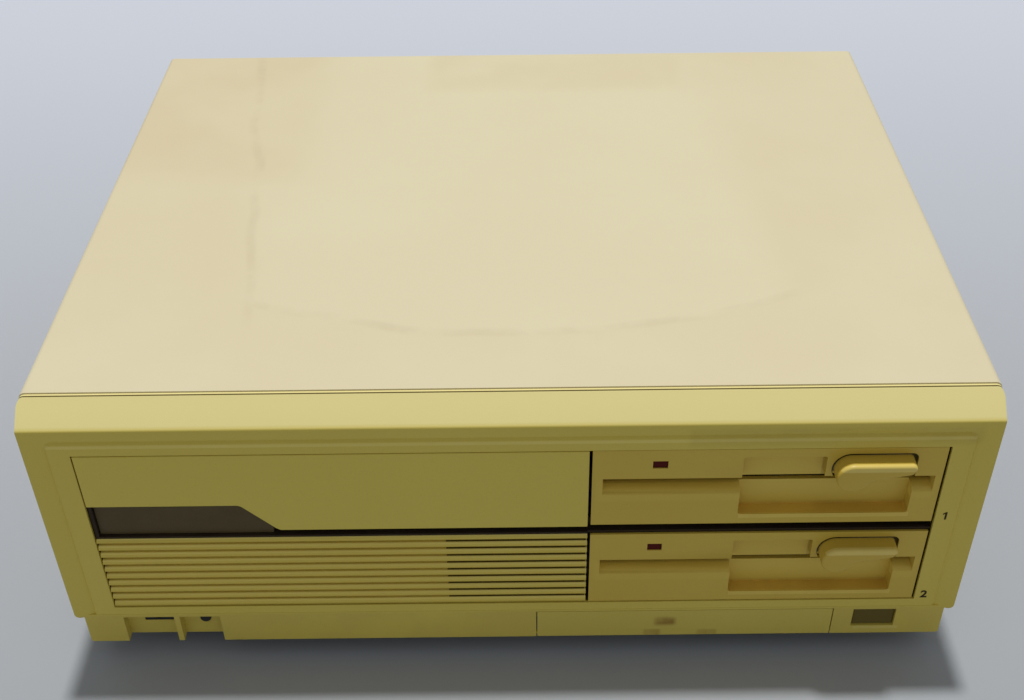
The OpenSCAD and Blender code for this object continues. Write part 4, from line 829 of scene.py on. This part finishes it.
class Palette:
    """The finishes that several sub-assemblies share."""

    def __init__(self) -> None:
        """Builds every shared material once; a patch's corners are in case millimetres."""
        dark, grime = (0.035, 0.022, 0.008), (0.40, 0.27, 0.05)
        worn = (0.66, 0.50, 0.28)
        self.cover = PaintedSteel(
            "cover_enamel", (0.77, 0.685, 0.46), (0.785, 0.715, 0.485),
            marks=(ColourPatch((-205, 200, 100), (-120, 340, 160), worn, 0.30, 30.0, 0.8, 12.0),
                   ColourPatch((-40, 285, 100), (90, 340, 160), worn, 0.22, 12.0, 0.8, 16.0),
                   Footprint())).material()
        self.rear = PaintedSteel("rear_enamel", (0.70, 0.62, 0.42), (0.66, 0.58, 0.38)).material()
        # Painted highlight: the upward slope above the crease is painted paler, standing in for the
        # light that falls on it.
        pale = ColourPatch((-220, -4, 129.5), (220, 20, 160), (0.905, 0.79, 0.335), 1.0, 2.0, 0.0)
        groove = ColourPatch((-220, 11.2, 100), (220, 11.7, 160), (0.20, 0.15, 0.06), 0.85, 0.3, 0.0)
        # Painted shadow: a dark line along the gap at the cover's front edge.
        cover_edge_shadow = ColourPatch((-220, 12.9, 100), (220, 14, 160), (0.20, 0.15, 0.06), 0.8, 0.25, 0.0)
        # Painted highlight: a pale line along the raised frame's upper edge, where light catches it.
        frame_edge_highlight = ColourPatch((-190, -1, 117.6), (190, 2, 118.7), (0.88, 0.74, 0.22), 0.6, 0.5, 0.2, 40.0)
        # Painted shade: dark on the bezel's faces deeper than its front, in the opening around the
        # panels and drives.
        opening_shade = ColourPatch((-184, 3.3, 20.5), (182, 16, 115.5), dark, 0.9, 0.7, 0.0)
        # Painted highlight: a pale line on the lower lip of the power key's opening.
        lip_highlight = ColourPatch((156, -2, 3.2), (176, 6, 4.3), (0.86, 0.73, 0.24), 0.5, 0.6, 0.1)
        # A browner, darker band under the crease over the drives.
        under_crease_band = ColourPatch((75, -3, 117), (190, 4, 123), grime, 0.30, 4.0, 0.6, 40.0)
        scuffed = ColourPatch((-199, -2, 0), (199, 6, 16), (0.42, 0.33, 0.10), 0.25, 3.0, 0.9, 30.0)
        self.bezel = MouldedPlastic(
            "bezel_moulding", (0.74, 0.595, 0.105), (0.72, 0.57, 0.095),
            colour_patches=(pale, groove, cover_edge_shadow, frame_edge_highlight, opening_shade, lip_highlight, under_crease_band, scuffed)).material()
        self.upper = MouldedPlastic(
            "upper_panel_moulding", (0.745, 0.60, 0.10), (0.725, 0.58, 0.095),
            # Painted shade: dark on the faces behind the panel's front, in the gaps around it.
            colour_patches=(ColourPatch((-190, 3.0, 60), (40, 16, 120), dark, 0.9, 0.6, 0.0),)).material()
        # Painted shade in the slots between the ribs: faint on the left, deep in the speaker slits on
        # the right.
        slit_shade = (0.10, 0.058, 0.008)
        self.ribbed = RibbedPlastic(
            "ribbed_panel_moulding", (0.78, 0.61, 0.11), (0.74, 0.57, 0.095),
            colour_patches=(ColourPatch((-190, 3.3, 20), (31.5, 9, 68), slit_shade, 0.12, 0.4, 0.0),
                    ColourPatch((-29, 3.0, 20), (31.5, 9, 68), slit_shade, 0.85, 0.3, 0.0))).material()
        smudge = (0.28, 0.13, 0.015)
        self.flap = MouldedPlastic(
            "flap_moulding", (0.70, 0.57, 0.115), (0.67, 0.54, 0.10),
            colour_patches=(ColourPatch((66, -2, 8.6), (72, 3, 10.4), smudge, 0.80, 3.2, 0.5, 110.0),
                    ColourPatch((60.5, -2, 1.0), (66, 3, 3.0), smudge, 0.45, 2.0, 0.4, 110.0),
                    ColourPatch((85, -2, 1.0), (92, 3, 2.6), smudge, 0.40, 2.0, 0.4, 110.0))).material()
        self.strip = DarkPlastic("dark_strip", (0.036, 0.023, 0.012), 0.55, 0.2,
                                 dust_colour=(0.11, 0.08, 0.045), specular=0.15).material()
        self.black = DarkPlastic("black_moulding", (0.018, 0.017, 0.016), 0.4, 0.12).material()
        self.rubber = DarkPlastic("foot_rubber", (0.022, 0.021, 0.020), 0.7, 0.3, 0.8).material()
        self.key = DarkPlastic("power_key", (0.150, 0.112, 0.026), 0.5, 0.10,
                               dust_colour=(0.20, 0.16, 0.06), specular=0.1).material()
        self.window = Smoked("smoked_window").material()
        self.lamp = Lens("lamp_lens").material()
        self.steel = BareMetal("plated_steel", (0.62, 0.63, 0.62), 0.34).material()
        self.rod = BareMetal("ground_steel", (0.66, 0.66, 0.66), 0.2, Lay.ALONG_Y, 0.05).material()
        self.casting = BareMetal("cast_frame", (0.50, 0.50, 0.50), 0.42, Lay.NONE, 0.15).material()
        self.motor = BareMetal("motor_can", (0.36, 0.36, 0.37), 0.3, Lay.ALONG_Z, 0.1).material()
        self.port = BareMetal("port_shell", (0.55, 0.55, 0.54), 0.3, Lay.ALONG_X, 0.1).material()
        self.board = Laminate("main_laminate").material()
        self.supply_board = Laminate("supply_laminate", (0.30, 0.20, 0.08),
                                     (0.38, 0.27, 0.12)).material()
        self.chip = DarkPlastic("chip_resin", (0.02, 0.02, 0.022), 0.5, 0.1).material()
        self.ribbon = DarkPlastic("ribbon_jacket", (0.36, 0.36, 0.34), 0.5, 0.1).material()
        self.red = DarkPlastic("switch_red", (0.42, 0.04, 0.025), 0.35, 0.08).material()
        self.pale = DarkPlastic("pale_moulding", (0.62, 0.60, 0.52), 0.45, 0.1).material()


# --------------------------------------------------------------- sub-assemblies


@dataclass
class Cover:
    """The steel cover and the sheet-metal case behind the bezel."""

    palette: Palette
    edge: Softening = Softening(0.35, 2)

    def build(self) -> None:
        """Builds the cover and dresses the sheet-metal nodes."""
        dress(softened("top_cover", self.edge), "cover_paint", self.palette.cover)
        dress(softened("rear_panel", Softening(0.2, 2)), "rear_paint", self.palette.rear)
        for node in ("base_chassis", "front_plate", "card_cage", "drive_cage", "power_supply_case"):
            repaint(node, self.palette.steel)
        dress(softened("slot_covers", Softening(0.2, 2)), "chassis_steel", self.palette.steel)
        dress(softened("cover_screws", Softening(0.15, 2)), "screw_steel", self.palette.steel)
        dress(softened("panel_screws", Softening(0.3, 2)), "screw_steel", self.palette.steel)
        dress(softened("rubber_feet", Softening(0.8, 3)), "foot_rubber", self.palette.rubber)
        LOG.info("cover and case dressed")


@dataclass
class Bezel:
    """The front moulding with its panels, window and dark strip."""

    palette: Palette
    panel_x: tuple[float, float] = (-180.0, 32.2)
    panel_z: tuple[float, float] = (23.0, 65.0)
    face_y: float = 1.6
    thick: float = 3.8
    rib_count: int = 9
    rib_pitch: float = RIB_PITCH
    rib_top: float = RIB_TOP
    rib_steps: int = 11
    rib_smooth: float = 32.0       # degrees
    slot: float = 1.9
    slot_depth: float = 2.6
    fall: float = 1.1
    tuck: float = 0.45
    window_x: tuple[float, float] = (-130.0, -95.0)
    window_z: tuple[float, float] = (67.0, 85.5)
    window_rim: float = 2.0
    stretch: tuple[float, float] = (2.4, 3.2)

    def build(self) -> None:
        """Builds the front mouldings."""
        p, thin = self.palette, Softening(0.25, 2)
        dress(softened("front_bezel", Softening(0.55, 3, 28.0)), "bezel_plastic", p.bezel)
        dress(softened("upper_front_panel", Softening(0.4, 3), self._widened), "upper_panel_plastic",
              p.upper)
        dress(self._ribbed_panel(), "ribbed_panel_plastic", p.ribbed)
        dress(softened("indicator_window", thin, self._widened), "smoked_window", p.window)
        dress(softened("divider_strip", thin, self._widened), "dark_strip", p.strip)
        dress(softened("indicator_lamps", Softening(0.2, 2)), "lamp_red", p.lamp)
        LOG.info("bezel built")

    def _widened(self, points: np.ndarray) -> np.ndarray:
        """Moves the window's slanted end outwards, by a distance that grows with the height.

        Args:
            points: an (n, 3) array in case millimetres.

        Returns:
            The same points, moved.
        """
        x, z = points[:, 0], points[:, 2]
        left, right = self.window_x
        near_end = (x > left) & (x < right) & (z < self.window_z[1] + self.window_rim)
        points[:, 0] += near_end * np.interp(z, self.window_z, self.stretch)
        return points

    def _ribbed_panel(self) -> bpy.types.Object:
        """The ribbed panel: its section is carried along X between its two ends.

        Going down a rib by t from 0 to 1, the front bows out from its receding top edge and
        turns in at its foot: y = fall (1 - t) ** 3 + tuck t ** 6. A slot of constant depth
        parts each rib from the next.

        Returns:
            The panel, riding on the case.
        """
        t = np.linspace(0.0, 1.0, self.rib_steps)
        mouths = self.rib_top - self.rib_pitch * np.arange(self.rib_count)
        tops = np.concatenate([[self.panel_z[1]], mouths - self.slot / 2])[:, None]
        feet = np.concatenate([mouths + self.slot / 2, [self.panel_z[0]]])[:, None]
        z = tops + (feet - tops) * t
        y = np.broadcast_to(self.fall * (1 - t) ** 3 + self.tuck * t ** 6, z.shape)
        floor = np.full_like(tops, self.slot_depth)
        rows_y = np.concatenate([floor, y, floor], axis=1)
        rows_z = np.concatenate([tops, z, feet], axis=1)
        rows_y[0, 0] = rows_y[-1, -1] = self.thick
        section = np.stack([rows_y.ravel() + self.face_y, rows_z.ravel()], axis=-1)
        ends = [np.column_stack([np.full(len(section), x), section]) for x in self.panel_x]
        piece = loft("ribbed_front_panel_skin", in_case(np.stack(ends)), self.rib_smooth)
        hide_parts("ribbed_front_panel")
        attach(piece, "case")
        return piece


@dataclass
class Plinth:
    """The fittings in the plinth: flap, buttons and keyboard socket."""

    palette: Palette
    flap_top: float = 16.2
    flap_rim: float = 0.6
    flap_grow: float = 0.3

    def build(self) -> None:
        """Builds the plinth's fittings."""
        dress(softened("switch_cover", Softening(0.15, 2), self._closed), "flap_plastic",
              self.palette.flap)
        dress(softened("power_button", Softening(0.7, 3)), "power_key", self.palette.key)
        dress(softened("reset_button", Softening(0.5, 3)), "black_plastic", self.palette.black)
        dress(softened("keyboard_socket", Softening(0.2, 2)), "socket_plastic", self.palette.black)
        repaint("panel_switches", self.palette.black)
        repaint("dip_switches", self.palette.red)
        LOG.info("plinth fittings built")

    def _closed(self, points: np.ndarray) -> np.ndarray:
        """Raises the flap's upper edge towards the frame above it."""
        points[:, 2] += self.flap_grow * (points[:, 2] > self.flap_top - self.flap_rim)
        return points


@dataclass
class Drive:
    """One diskette drive, with its own face, lever and mechanism, in the drive's own millimetres."""

    palette: Palette
    number: int
    lever_x: float = 107.0         # the lever's pivot
    lever_z: float = 31.0
    hub_r: float = 7.0
    neck_r: float = 6.0
    heel_r: float = 1.8
    heel_drop: float = 3.4
    heel_back: float = 0.4
    tip_r: float = 2.2
    reach: float = 25.5            # from the pivot to the tip
    slant: float = 11.0            # degrees
    front: float = -7.5
    waist: float = -2.0
    back: float = 0.7
    edge: float = 1.2
    edge_steps: int = 7
    back_edge: float = 0.4
    slot_top: float = 24.4
    slot_rise: float = 1.9
    slot_front: float = 3.9        # the slot's mouth ends at this depth
    pocket_x: tuple[float, float] = (63.0, 133.0)
    left_wall: tuple[float, float] = (62.5, 66.0)
    right_wall: tuple[float, float] = (115.0, 144.0)
    pocket_grow: tuple[float, float] = (0.6, 1.6)

    def build(self) -> None:
        """Builds the visible pieces and dresses the mechanism."""
        n = self.number
        dress(softened(f"drive_{n}_face", Softening(0.5, 3, 35.0), self._opened), "drive_plastic",
              self._face_finish())
        dress(self._lever(), "lever_plastic", self._lever_finish())
        p = self.palette
        for part, material in {
                "lever_shaft": p.rod, "frame": p.casting, "clamp_arm": p.steel, "hub_cone": p.pale,
                "spindle": p.motor, "motor_board": p.board, "head_carriage": p.pale, "rails": p.rod,
                "stepper": p.motor, "lead_screw": p.rod, "logic_board": p.board}.items():
            repaint(f"drive_{n}_{part}", material)
        LOG.info("drive %d built", n)

    def _opened(self, points: np.ndarray) -> np.ndarray:
        """Opens the face: the pocket grows to both sides, and the slot's front upper edges rise.

        Args:
            points: an (n, 3) array in case millimetres.

        Returns:
            The same points, moved.
        """
        x, y, z = (points - drive_corner(self.number)).T
        left, right = self.pocket_x
        beside = (x < left + NEAR) | (x > right - 1.0 - NEAR)
        upper_edge = (abs(z - self.slot_top) < NEAR) & (y < self.slot_front) & beside
        points[:, 0] += self.pocket_grow[1] * self._within(x, self.right_wall)
        points[:, 0] -= self.pocket_grow[0] * self._within(x, self.left_wall)
        points[:, 2] += self.slot_rise * upper_edge
        return points

    @staticmethod
    def _within(x: np.ndarray, span: tuple[float, float]) -> np.ndarray:
        """Which values lie between a span's two ends."""
        return (x > span[0]) & (x < span[1])

    def _outline(self, shrink: np.ndarray) -> np.ndarray:
        """The lever's outline, pulled in by shrink.

        A round hub runs through a hollow neck into a blade whose underside slants by a few
        degrees to a round heel and tip. Each corner is an arc about a fixed centre: its radius
        loses shrink where the outline bulges and gains it in the hollow.

        Args:
            shrink: how far each ring is pulled in, in millimetres.

        Returns:
            An (m, n, 2) array of X and Z in drive millimetres.
        """
        slant = math.radians(self.slant)
        tip = np.array([self.reach - self.tip_r, self.hub_r - self.tip_r])
        heel = np.array([tip[0] - self.heel_back, self.hub_r - self.heel_drop])
        drop = heel @ np.array([math.sin(slant), -math.cos(slant)]) + self.heel_r
        turn = slant - np.pi / 2 + math.acos((drop + self.neck_r) / (self.hub_r + self.neck_r))
        neck = (self.hub_r + self.neck_r) * np.array([math.cos(turn), math.sin(turn)])
        corners = ((np.zeros(2), self.hub_r, -1, np.pi / 2, 2 * np.pi + turn, 60),
                   (neck, self.neck_r, 1, turn + np.pi, slant + np.pi / 2, 12),
                   (heel, self.heel_r, -1, slant - np.pi / 2, 0.0, 9),
                   (tip, self.tip_r, -1, 0.0, np.pi / 2, 10))
        parts = []
        for centre, radius, sign, start, end, steps in corners:
            angle = np.linspace(start, end, steps)
            way = np.stack([np.cos(angle), np.sin(angle)], axis=-1)
            parts.append(centre + (radius + sign * shrink)[:, None, None] * way)
        return np.concatenate(parts, axis=1) + np.array([self.lever_x, self.lever_z])

    def _lever(self) -> bpy.types.Object:
        """The lever: its outline carried back from a front edge rounded by a quarter circle.

        At the angle t of that quarter circle the outline is pulled in by edge (1 - sin t) and
        lies edge (1 - cos t) behind the front.

        Returns:
            The lever, riding on its own body.
        """
        turn = np.linspace(0.0, np.pi / 2, self.edge_steps)
        shrink = np.concatenate([self.edge * (1 - np.sin(turn)), [0.0, 0.0, self.back_edge]])
        sides = [self.waist, self.back - self.back_edge, self.back]
        depth = np.concatenate([self.front + self.edge * (1 - np.cos(turn)), sides])
        flat = self._outline(shrink)
        deep = np.broadcast_to(depth[:, None, None], flat.shape[:2] + (1,))
        rings = np.concatenate([flat[..., :1], deep, flat[..., 1:]], axis=-1)
        piece = loft(f"drive_{self.number}_lever_skin", in_drive(rings, self.number), 40.0)
        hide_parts(f"drive_{self.number}_lever")
        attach(piece, f"lever_{self.number}")
        return piece

    def _mark(self, low: Point, high: Point, colour: Colour, strength: float, soft: float,
              broken: float = 0.0, grain: float = 90.0) -> ColourPatch:
        """A colour patch whose corners are in this drive's millimetres."""
        corner = drive_corner(self.number)
        return ColourPatch(tuple(corner + low), tuple(corner + high), colour, strength, soft, broken, grain)

    def _face_finish(self) -> bpy.types.Material:
        """The face's plastic: painted shade at its rims, in the slot, on the recess's right wall and
        around the lever, painted fill light on the slot's ramps, in the pocket and in the recess, a
        painted highlight on the pocket's lip, and grime in the pocket.

        Returns:
            The material.
        """
        grime, shade, dark = (0.42, 0.26, 0.04), (0.16, 0.10, 0.02), (0.035, 0.022, 0.008)
        pocket_fill_light, ledge_fill_light, lip_highlight = (0.755, 0.555, 0.092), (0.80, 0.51, 0.075), (0.95, 0.74, 0.16)
        ramp_fill_light = (0.97, 0.74, 0.15)
        return MouldedPlastic(
            f"drive_{self.number}_moulding", (0.69, 0.505, 0.075), (0.66, 0.47, 0.065),
            colour_patches=(
                # Painted shade: dark on the faces deeper than the front at the four rims, in the gaps
                # around the face.
                self._mark((-3.5, 1.3, 41.5), (149.5, 18, 44), dark, 0.9, 0.5),
                self._mark((-3.5, 1.3, -2), (149.5, 18, 0.4), dark, 0.9, 0.5),
                self._mark((-3.5, 1.3, -2), (0.4, 18, 44), dark, 0.9, 0.5),
                self._mark((145.6, 1.3, -2), (149.5, 18, 44), dark, 0.9, 0.5),
                # Painted fill light: the slot's ramps on both sides of the pocket are painted paler.
                self._mark((3.5, 2.0, 15), (62.5, 5.4, 24), ramp_fill_light, 0.64, 2.6),
                self._mark((134.5, 2.0, 15), (142.5, 5.4, 24), ramp_fill_light, 0.64, 2.6),
                self._mark((-3.5, 5.6, 17.5), (146.5, 12, 26), shade, 0.22, 0.8, 0.1),
                # Painted fill light: the pocket's back wall and the recess above the slot are painted
                # paler, where shade falls.
                self._mark((63.5, 5.0, 6.5), (134.9, 12, 20), pocket_fill_light, 0.9, 1.0),
                self._mark((63.5, 3.0, 24), (96.5, 5.5, 38), pocket_fill_light, 0.4, 0.8),
                self._mark((96.3, 0.6, 24), (97.7, 6, 38), shade, 0.30, 0.5),
                # Painted fill light: the pocket's floor is painted paler.
                self._mark((63.5, 0.8, 4), (134.9, 12, 5.9), ledge_fill_light, 0.9, 0.5),
                # Painted highlight: a pale line on the pocket's lower lip.
                self._mark((63.0, -3, 3.4), (135.1, 0.6, 5.2), lip_highlight, 0.5, 0.5, 0.2, 40.0),
                self._mark((62.5, 0.6, 4), (134.5, 12, 6.5), grime, 0.30, 1.0, 0.9, 60.0),
                # Painted shade: dark in the clearance around the lever.
                self._mark((99.7, 1.0, 26), (141.5, 10, 41), dark, 0.85, 0.5))).material()

    def _lever_finish(self) -> bpy.types.Material:
        """The lever's plastic, with a painted highlight along its upper front edge.

        Returns:
            The material.
        """
        # Painted highlight on the lever's rounded upper front edge.
        lever_edge_highlight = self._mark((91.5, -8.5, 35.5), (146.5, -5.9, 40), (0.88, 0.70, 0.20), 0.75, 0.7, 0.1)
        return MouldedPlastic(
            f"lever_{self.number}_moulding", (0.67, 0.475, 0.07), (0.64, 0.45, 0.06), rough=0.34,
            grain=0.12, colour_patches=(lever_edge_highlight,)).material()


@dataclass
class Numerals:
    """The printed drive numbers on the bezel's right side."""

    ink: Colour = (0.045, 0.028, 0.010)
    height: float = 4.3
    thick: float = 0.05
    face_y: float = 1.55
    one_at: tuple[float, float] = (183.7, 72.2)
    two_at: tuple[float, float] = (183.0, 23.6)
    stem: tuple[float, float] = (0.95, 1.8)    # the one's stem, from left to right
    flag_x: float = 1.15           # where its flag's upper edge meets the top
    flag: tuple[float, float] = (0.64, 0.80)   # the flag's end, as shares of the height
    font_height: float = 0.7       # a figure's height as a share of the font's size
    weight: float = 0.18           # how much wider the font's strokes are made

    def build(self) -> None:
        """Builds the two numerals."""
        material = DarkPlastic("printed_ink", self.ink, 0.6, 0.2, 0.1, specular=0.15).material()
        for piece in (self._one(), self._two()):
            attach(piece, "case")
            dress(piece, "dark_strip", material)
        LOG.info("numerals built")

    def _one(self) -> bpy.types.Object:
        """A stem with a flag: an outline with a front and a back.

        Returns:
            The figure one.
        """
        top, (left, right) = self.height, self.stem
        low, high = (share * top for share in self.flag)
        outline = [[left, 0.0], [right, 0.0], [right, top], [self.flag_x, top], [0.0, high],
                   [0.0, low], [left, high]]
        x, z = (np.array(outline) + np.array(self.one_at)).T
        depths = (self.face_y, self.face_y - self.thick)
        rings = [np.column_stack([x, np.full(len(x), y), z]) for y in depths]
        return loft("numeral_1", in_case(np.stack(rings)), 20.0)

    def _two(self) -> bpy.types.Object:
        """A figure two from the built-in font, thickened and set upright.

        Returns:
            The figure two.
        """
        curve = bpy.data.curves.new("numeral_2", "FONT")
        curve.body = "2"
        curve.size = self.height / self.font_height * MM
        curve.offset = self.weight * MM
        curve.extrude = self.thick / 2 * MM
        holder = bpy.data.objects.new("numeral_2_text", curve)
        bpy.context.scene.collection.objects.link(holder)
        bpy.context.view_layer.update()
        mesh = bpy.data.meshes.new_from_object(holder)
        bpy.data.objects.remove(holder)
        x, z = self.two_at
        place = in_case(np.array([x, self.face_y - self.thick / 2, z]))
        mesh.transform(Matrix.Translation(Vector(place)) @ Matrix.Rotation(math.pi / 2, 4, "X"))
        piece = bpy.data.objects.new("numeral_2", mesh)
        bpy.context.scene.collection.objects.link(piece)
        return piece


@dataclass
class Inside:
    """The boards, ports, fan and card guides."""

    palette: Palette

    def build(self) -> None:
        """Dresses what stands inside the case and shows at the back."""
        p = self.palette
        for node, material in {
                "main_board": p.board, "expansion_backplane": p.board, "main_board_chips": p.chip,
                "power_supply_board": p.supply_board, "card_guides": p.black, "speaker": p.black,
                "drive_ribbon_cable": p.ribbon}.items():
            repaint(node, material)
        dress(softened("rear_connectors", Softening(0.2, 2)), "port_shell", p.port)
        dress(softened("ac_sockets", Softening(0.35, 2)), "socket_plastic", p.black)
        dress(softened("fan_frame", Softening(0.4, 2)), "fan_plastic", p.black)
        dress(softened("fan_rotor", Softening(0.3, 2)), "fan_plastic", p.black)
        LOG.info("inside dressed")


# --------------------------------------------------------------------- studio


@dataclass
class Studio:
    """The floor, lights and camera, in metres and radians."""

    focal_px: float = 1331.57
    azimuth: float = -0.00084
    elevation: float = 0.68995
    roll: float = -0.01181
    eye: Point = (0.00528, -0.56798, 0.48432)
    shift_px: tuple[float, float] = (-10.7, 61.56)
    clip_start: float = 0.01
    floor_half: float = 4.0
    # Painted light falloff and shade: the floor's colour darkens from back to front.
    floor_near_shaded: Colour = (0.385, 0.41, 0.44)
    floor_far_lit: Colour = (0.665, 0.70, 0.785)
    floor_light_fade: tuple[float, float] = (-0.35, 0.75)
    floor_mottle: Colour = (0.3, 0.3, 0.3)
    mottle_scale: float = 3.0      # cells per metre
    world_colour: Colour = (0.95, 0.97, 1.0)
    world_level: float = 0.31
    key_colour: Colour = (1.0, 0.99, 0.965)
    key_power: float = 321.0
    key_size: float = 0.42
    key_place: Point = (0.0, 0.997, 7.0)

    def build(self) -> None:
        """Builds the studio."""
        self._floor()
        self._lights()
        self._camera()
        view = bpy.context.scene.view_settings
        view.view_transform = "Standard"
        LOG.info("studio built")

    def _floor(self) -> None:
        """A wide, faintly mottled floor, painted darker towards the front for the lamp's falloff and
        shade.
        """
        half = self.floor_half
        corners = np.array([[-half, -half, 0], [half, -half, 0], [half, half, 0], [-half, half, 0]])
        floor = mesh_piece("floor", corners, [[0, 1, 2, 3]])
        g = Graph("floor_paper")
        tone = g.noise(self.mottle_scale, 3.0, 0.5)
        colour = g.mix(g.axes()[1].rise(*self.floor_light_fade), self.floor_near_shaded, self.floor_far_lit)
        colour = g.mix(tone * 0.04, colour, self.floor_mottle)
        floor.data.materials.append(g.finish(Base_Color=colour, Roughness=tone * 0.1 + 0.6))

    def _lights(self) -> None:
        """A round lamp overhead and a little behind, and an even sky."""
        lamp = bpy.data.lights.new("key", "AREA")
        lamp.shape = "DISK"
        lamp.size = self.key_size
        lamp.energy = self.key_power
        lamp.color = self.key_colour
        key = bpy.data.objects.new("key", lamp)
        key.location = self.key_place
        bpy.context.scene.collection.objects.link(key)
        world = bpy.data.worlds.new("sky")
        world.use_nodes = True
        bpy.context.scene.world = world
        back = world.node_tree.nodes["Background"]
        back.inputs["Color"].default_value = (*self.world_colour, 1.0)
        back.inputs["Strength"].default_value = self.world_level

    def _camera(self) -> None:
        """The camera: turned by azimuth and elevation, then rolled about its view."""
        lens = bpy.data.cameras.new("camera")
        lens.sensor_width = SENSOR_MM
        lens.lens = self.focal_px / PICTURE_PX * SENSOR_MM
        lens.shift_x, lens.shift_y = (px / PICTURE_PX for px in self.shift_px)
        lens.clip_start = self.clip_start
        camera = bpy.data.objects.new("camera", lens)
        a, e, r = self.azimuth, self.elevation, self.roll
        ahead = np.array([math.sin(a) * math.cos(e), math.cos(a) * math.cos(e), -math.sin(e)])
        right = np.array([math.cos(a), -math.sin(a), 0.0])
        up = np.cross(right, ahead)
        side = right * math.cos(r) + up * math.sin(r)
        top = -right * math.sin(r) + up * math.cos(r)
        turn = Matrix(np.stack([side, top, -ahead], axis=1).tolist()).to_4x4()
        camera.matrix_world = Matrix.Translation(self.eye) @ turn
        bpy.context.scene.collection.objects.link(camera)
        bpy.context.scene.camera = camera


def main() -> None:
    """Builds every sub-assembly in order."""
    palette = Palette()
    Studio().build()
    Cover(palette).build()
    Bezel(palette).build()
    Plinth(palette).build()
    for number in (1, 2):
        Drive(palette, number).build()
    Numerals().build()
    Inside(palette).build()


if __name__ == "__main__":
    main()
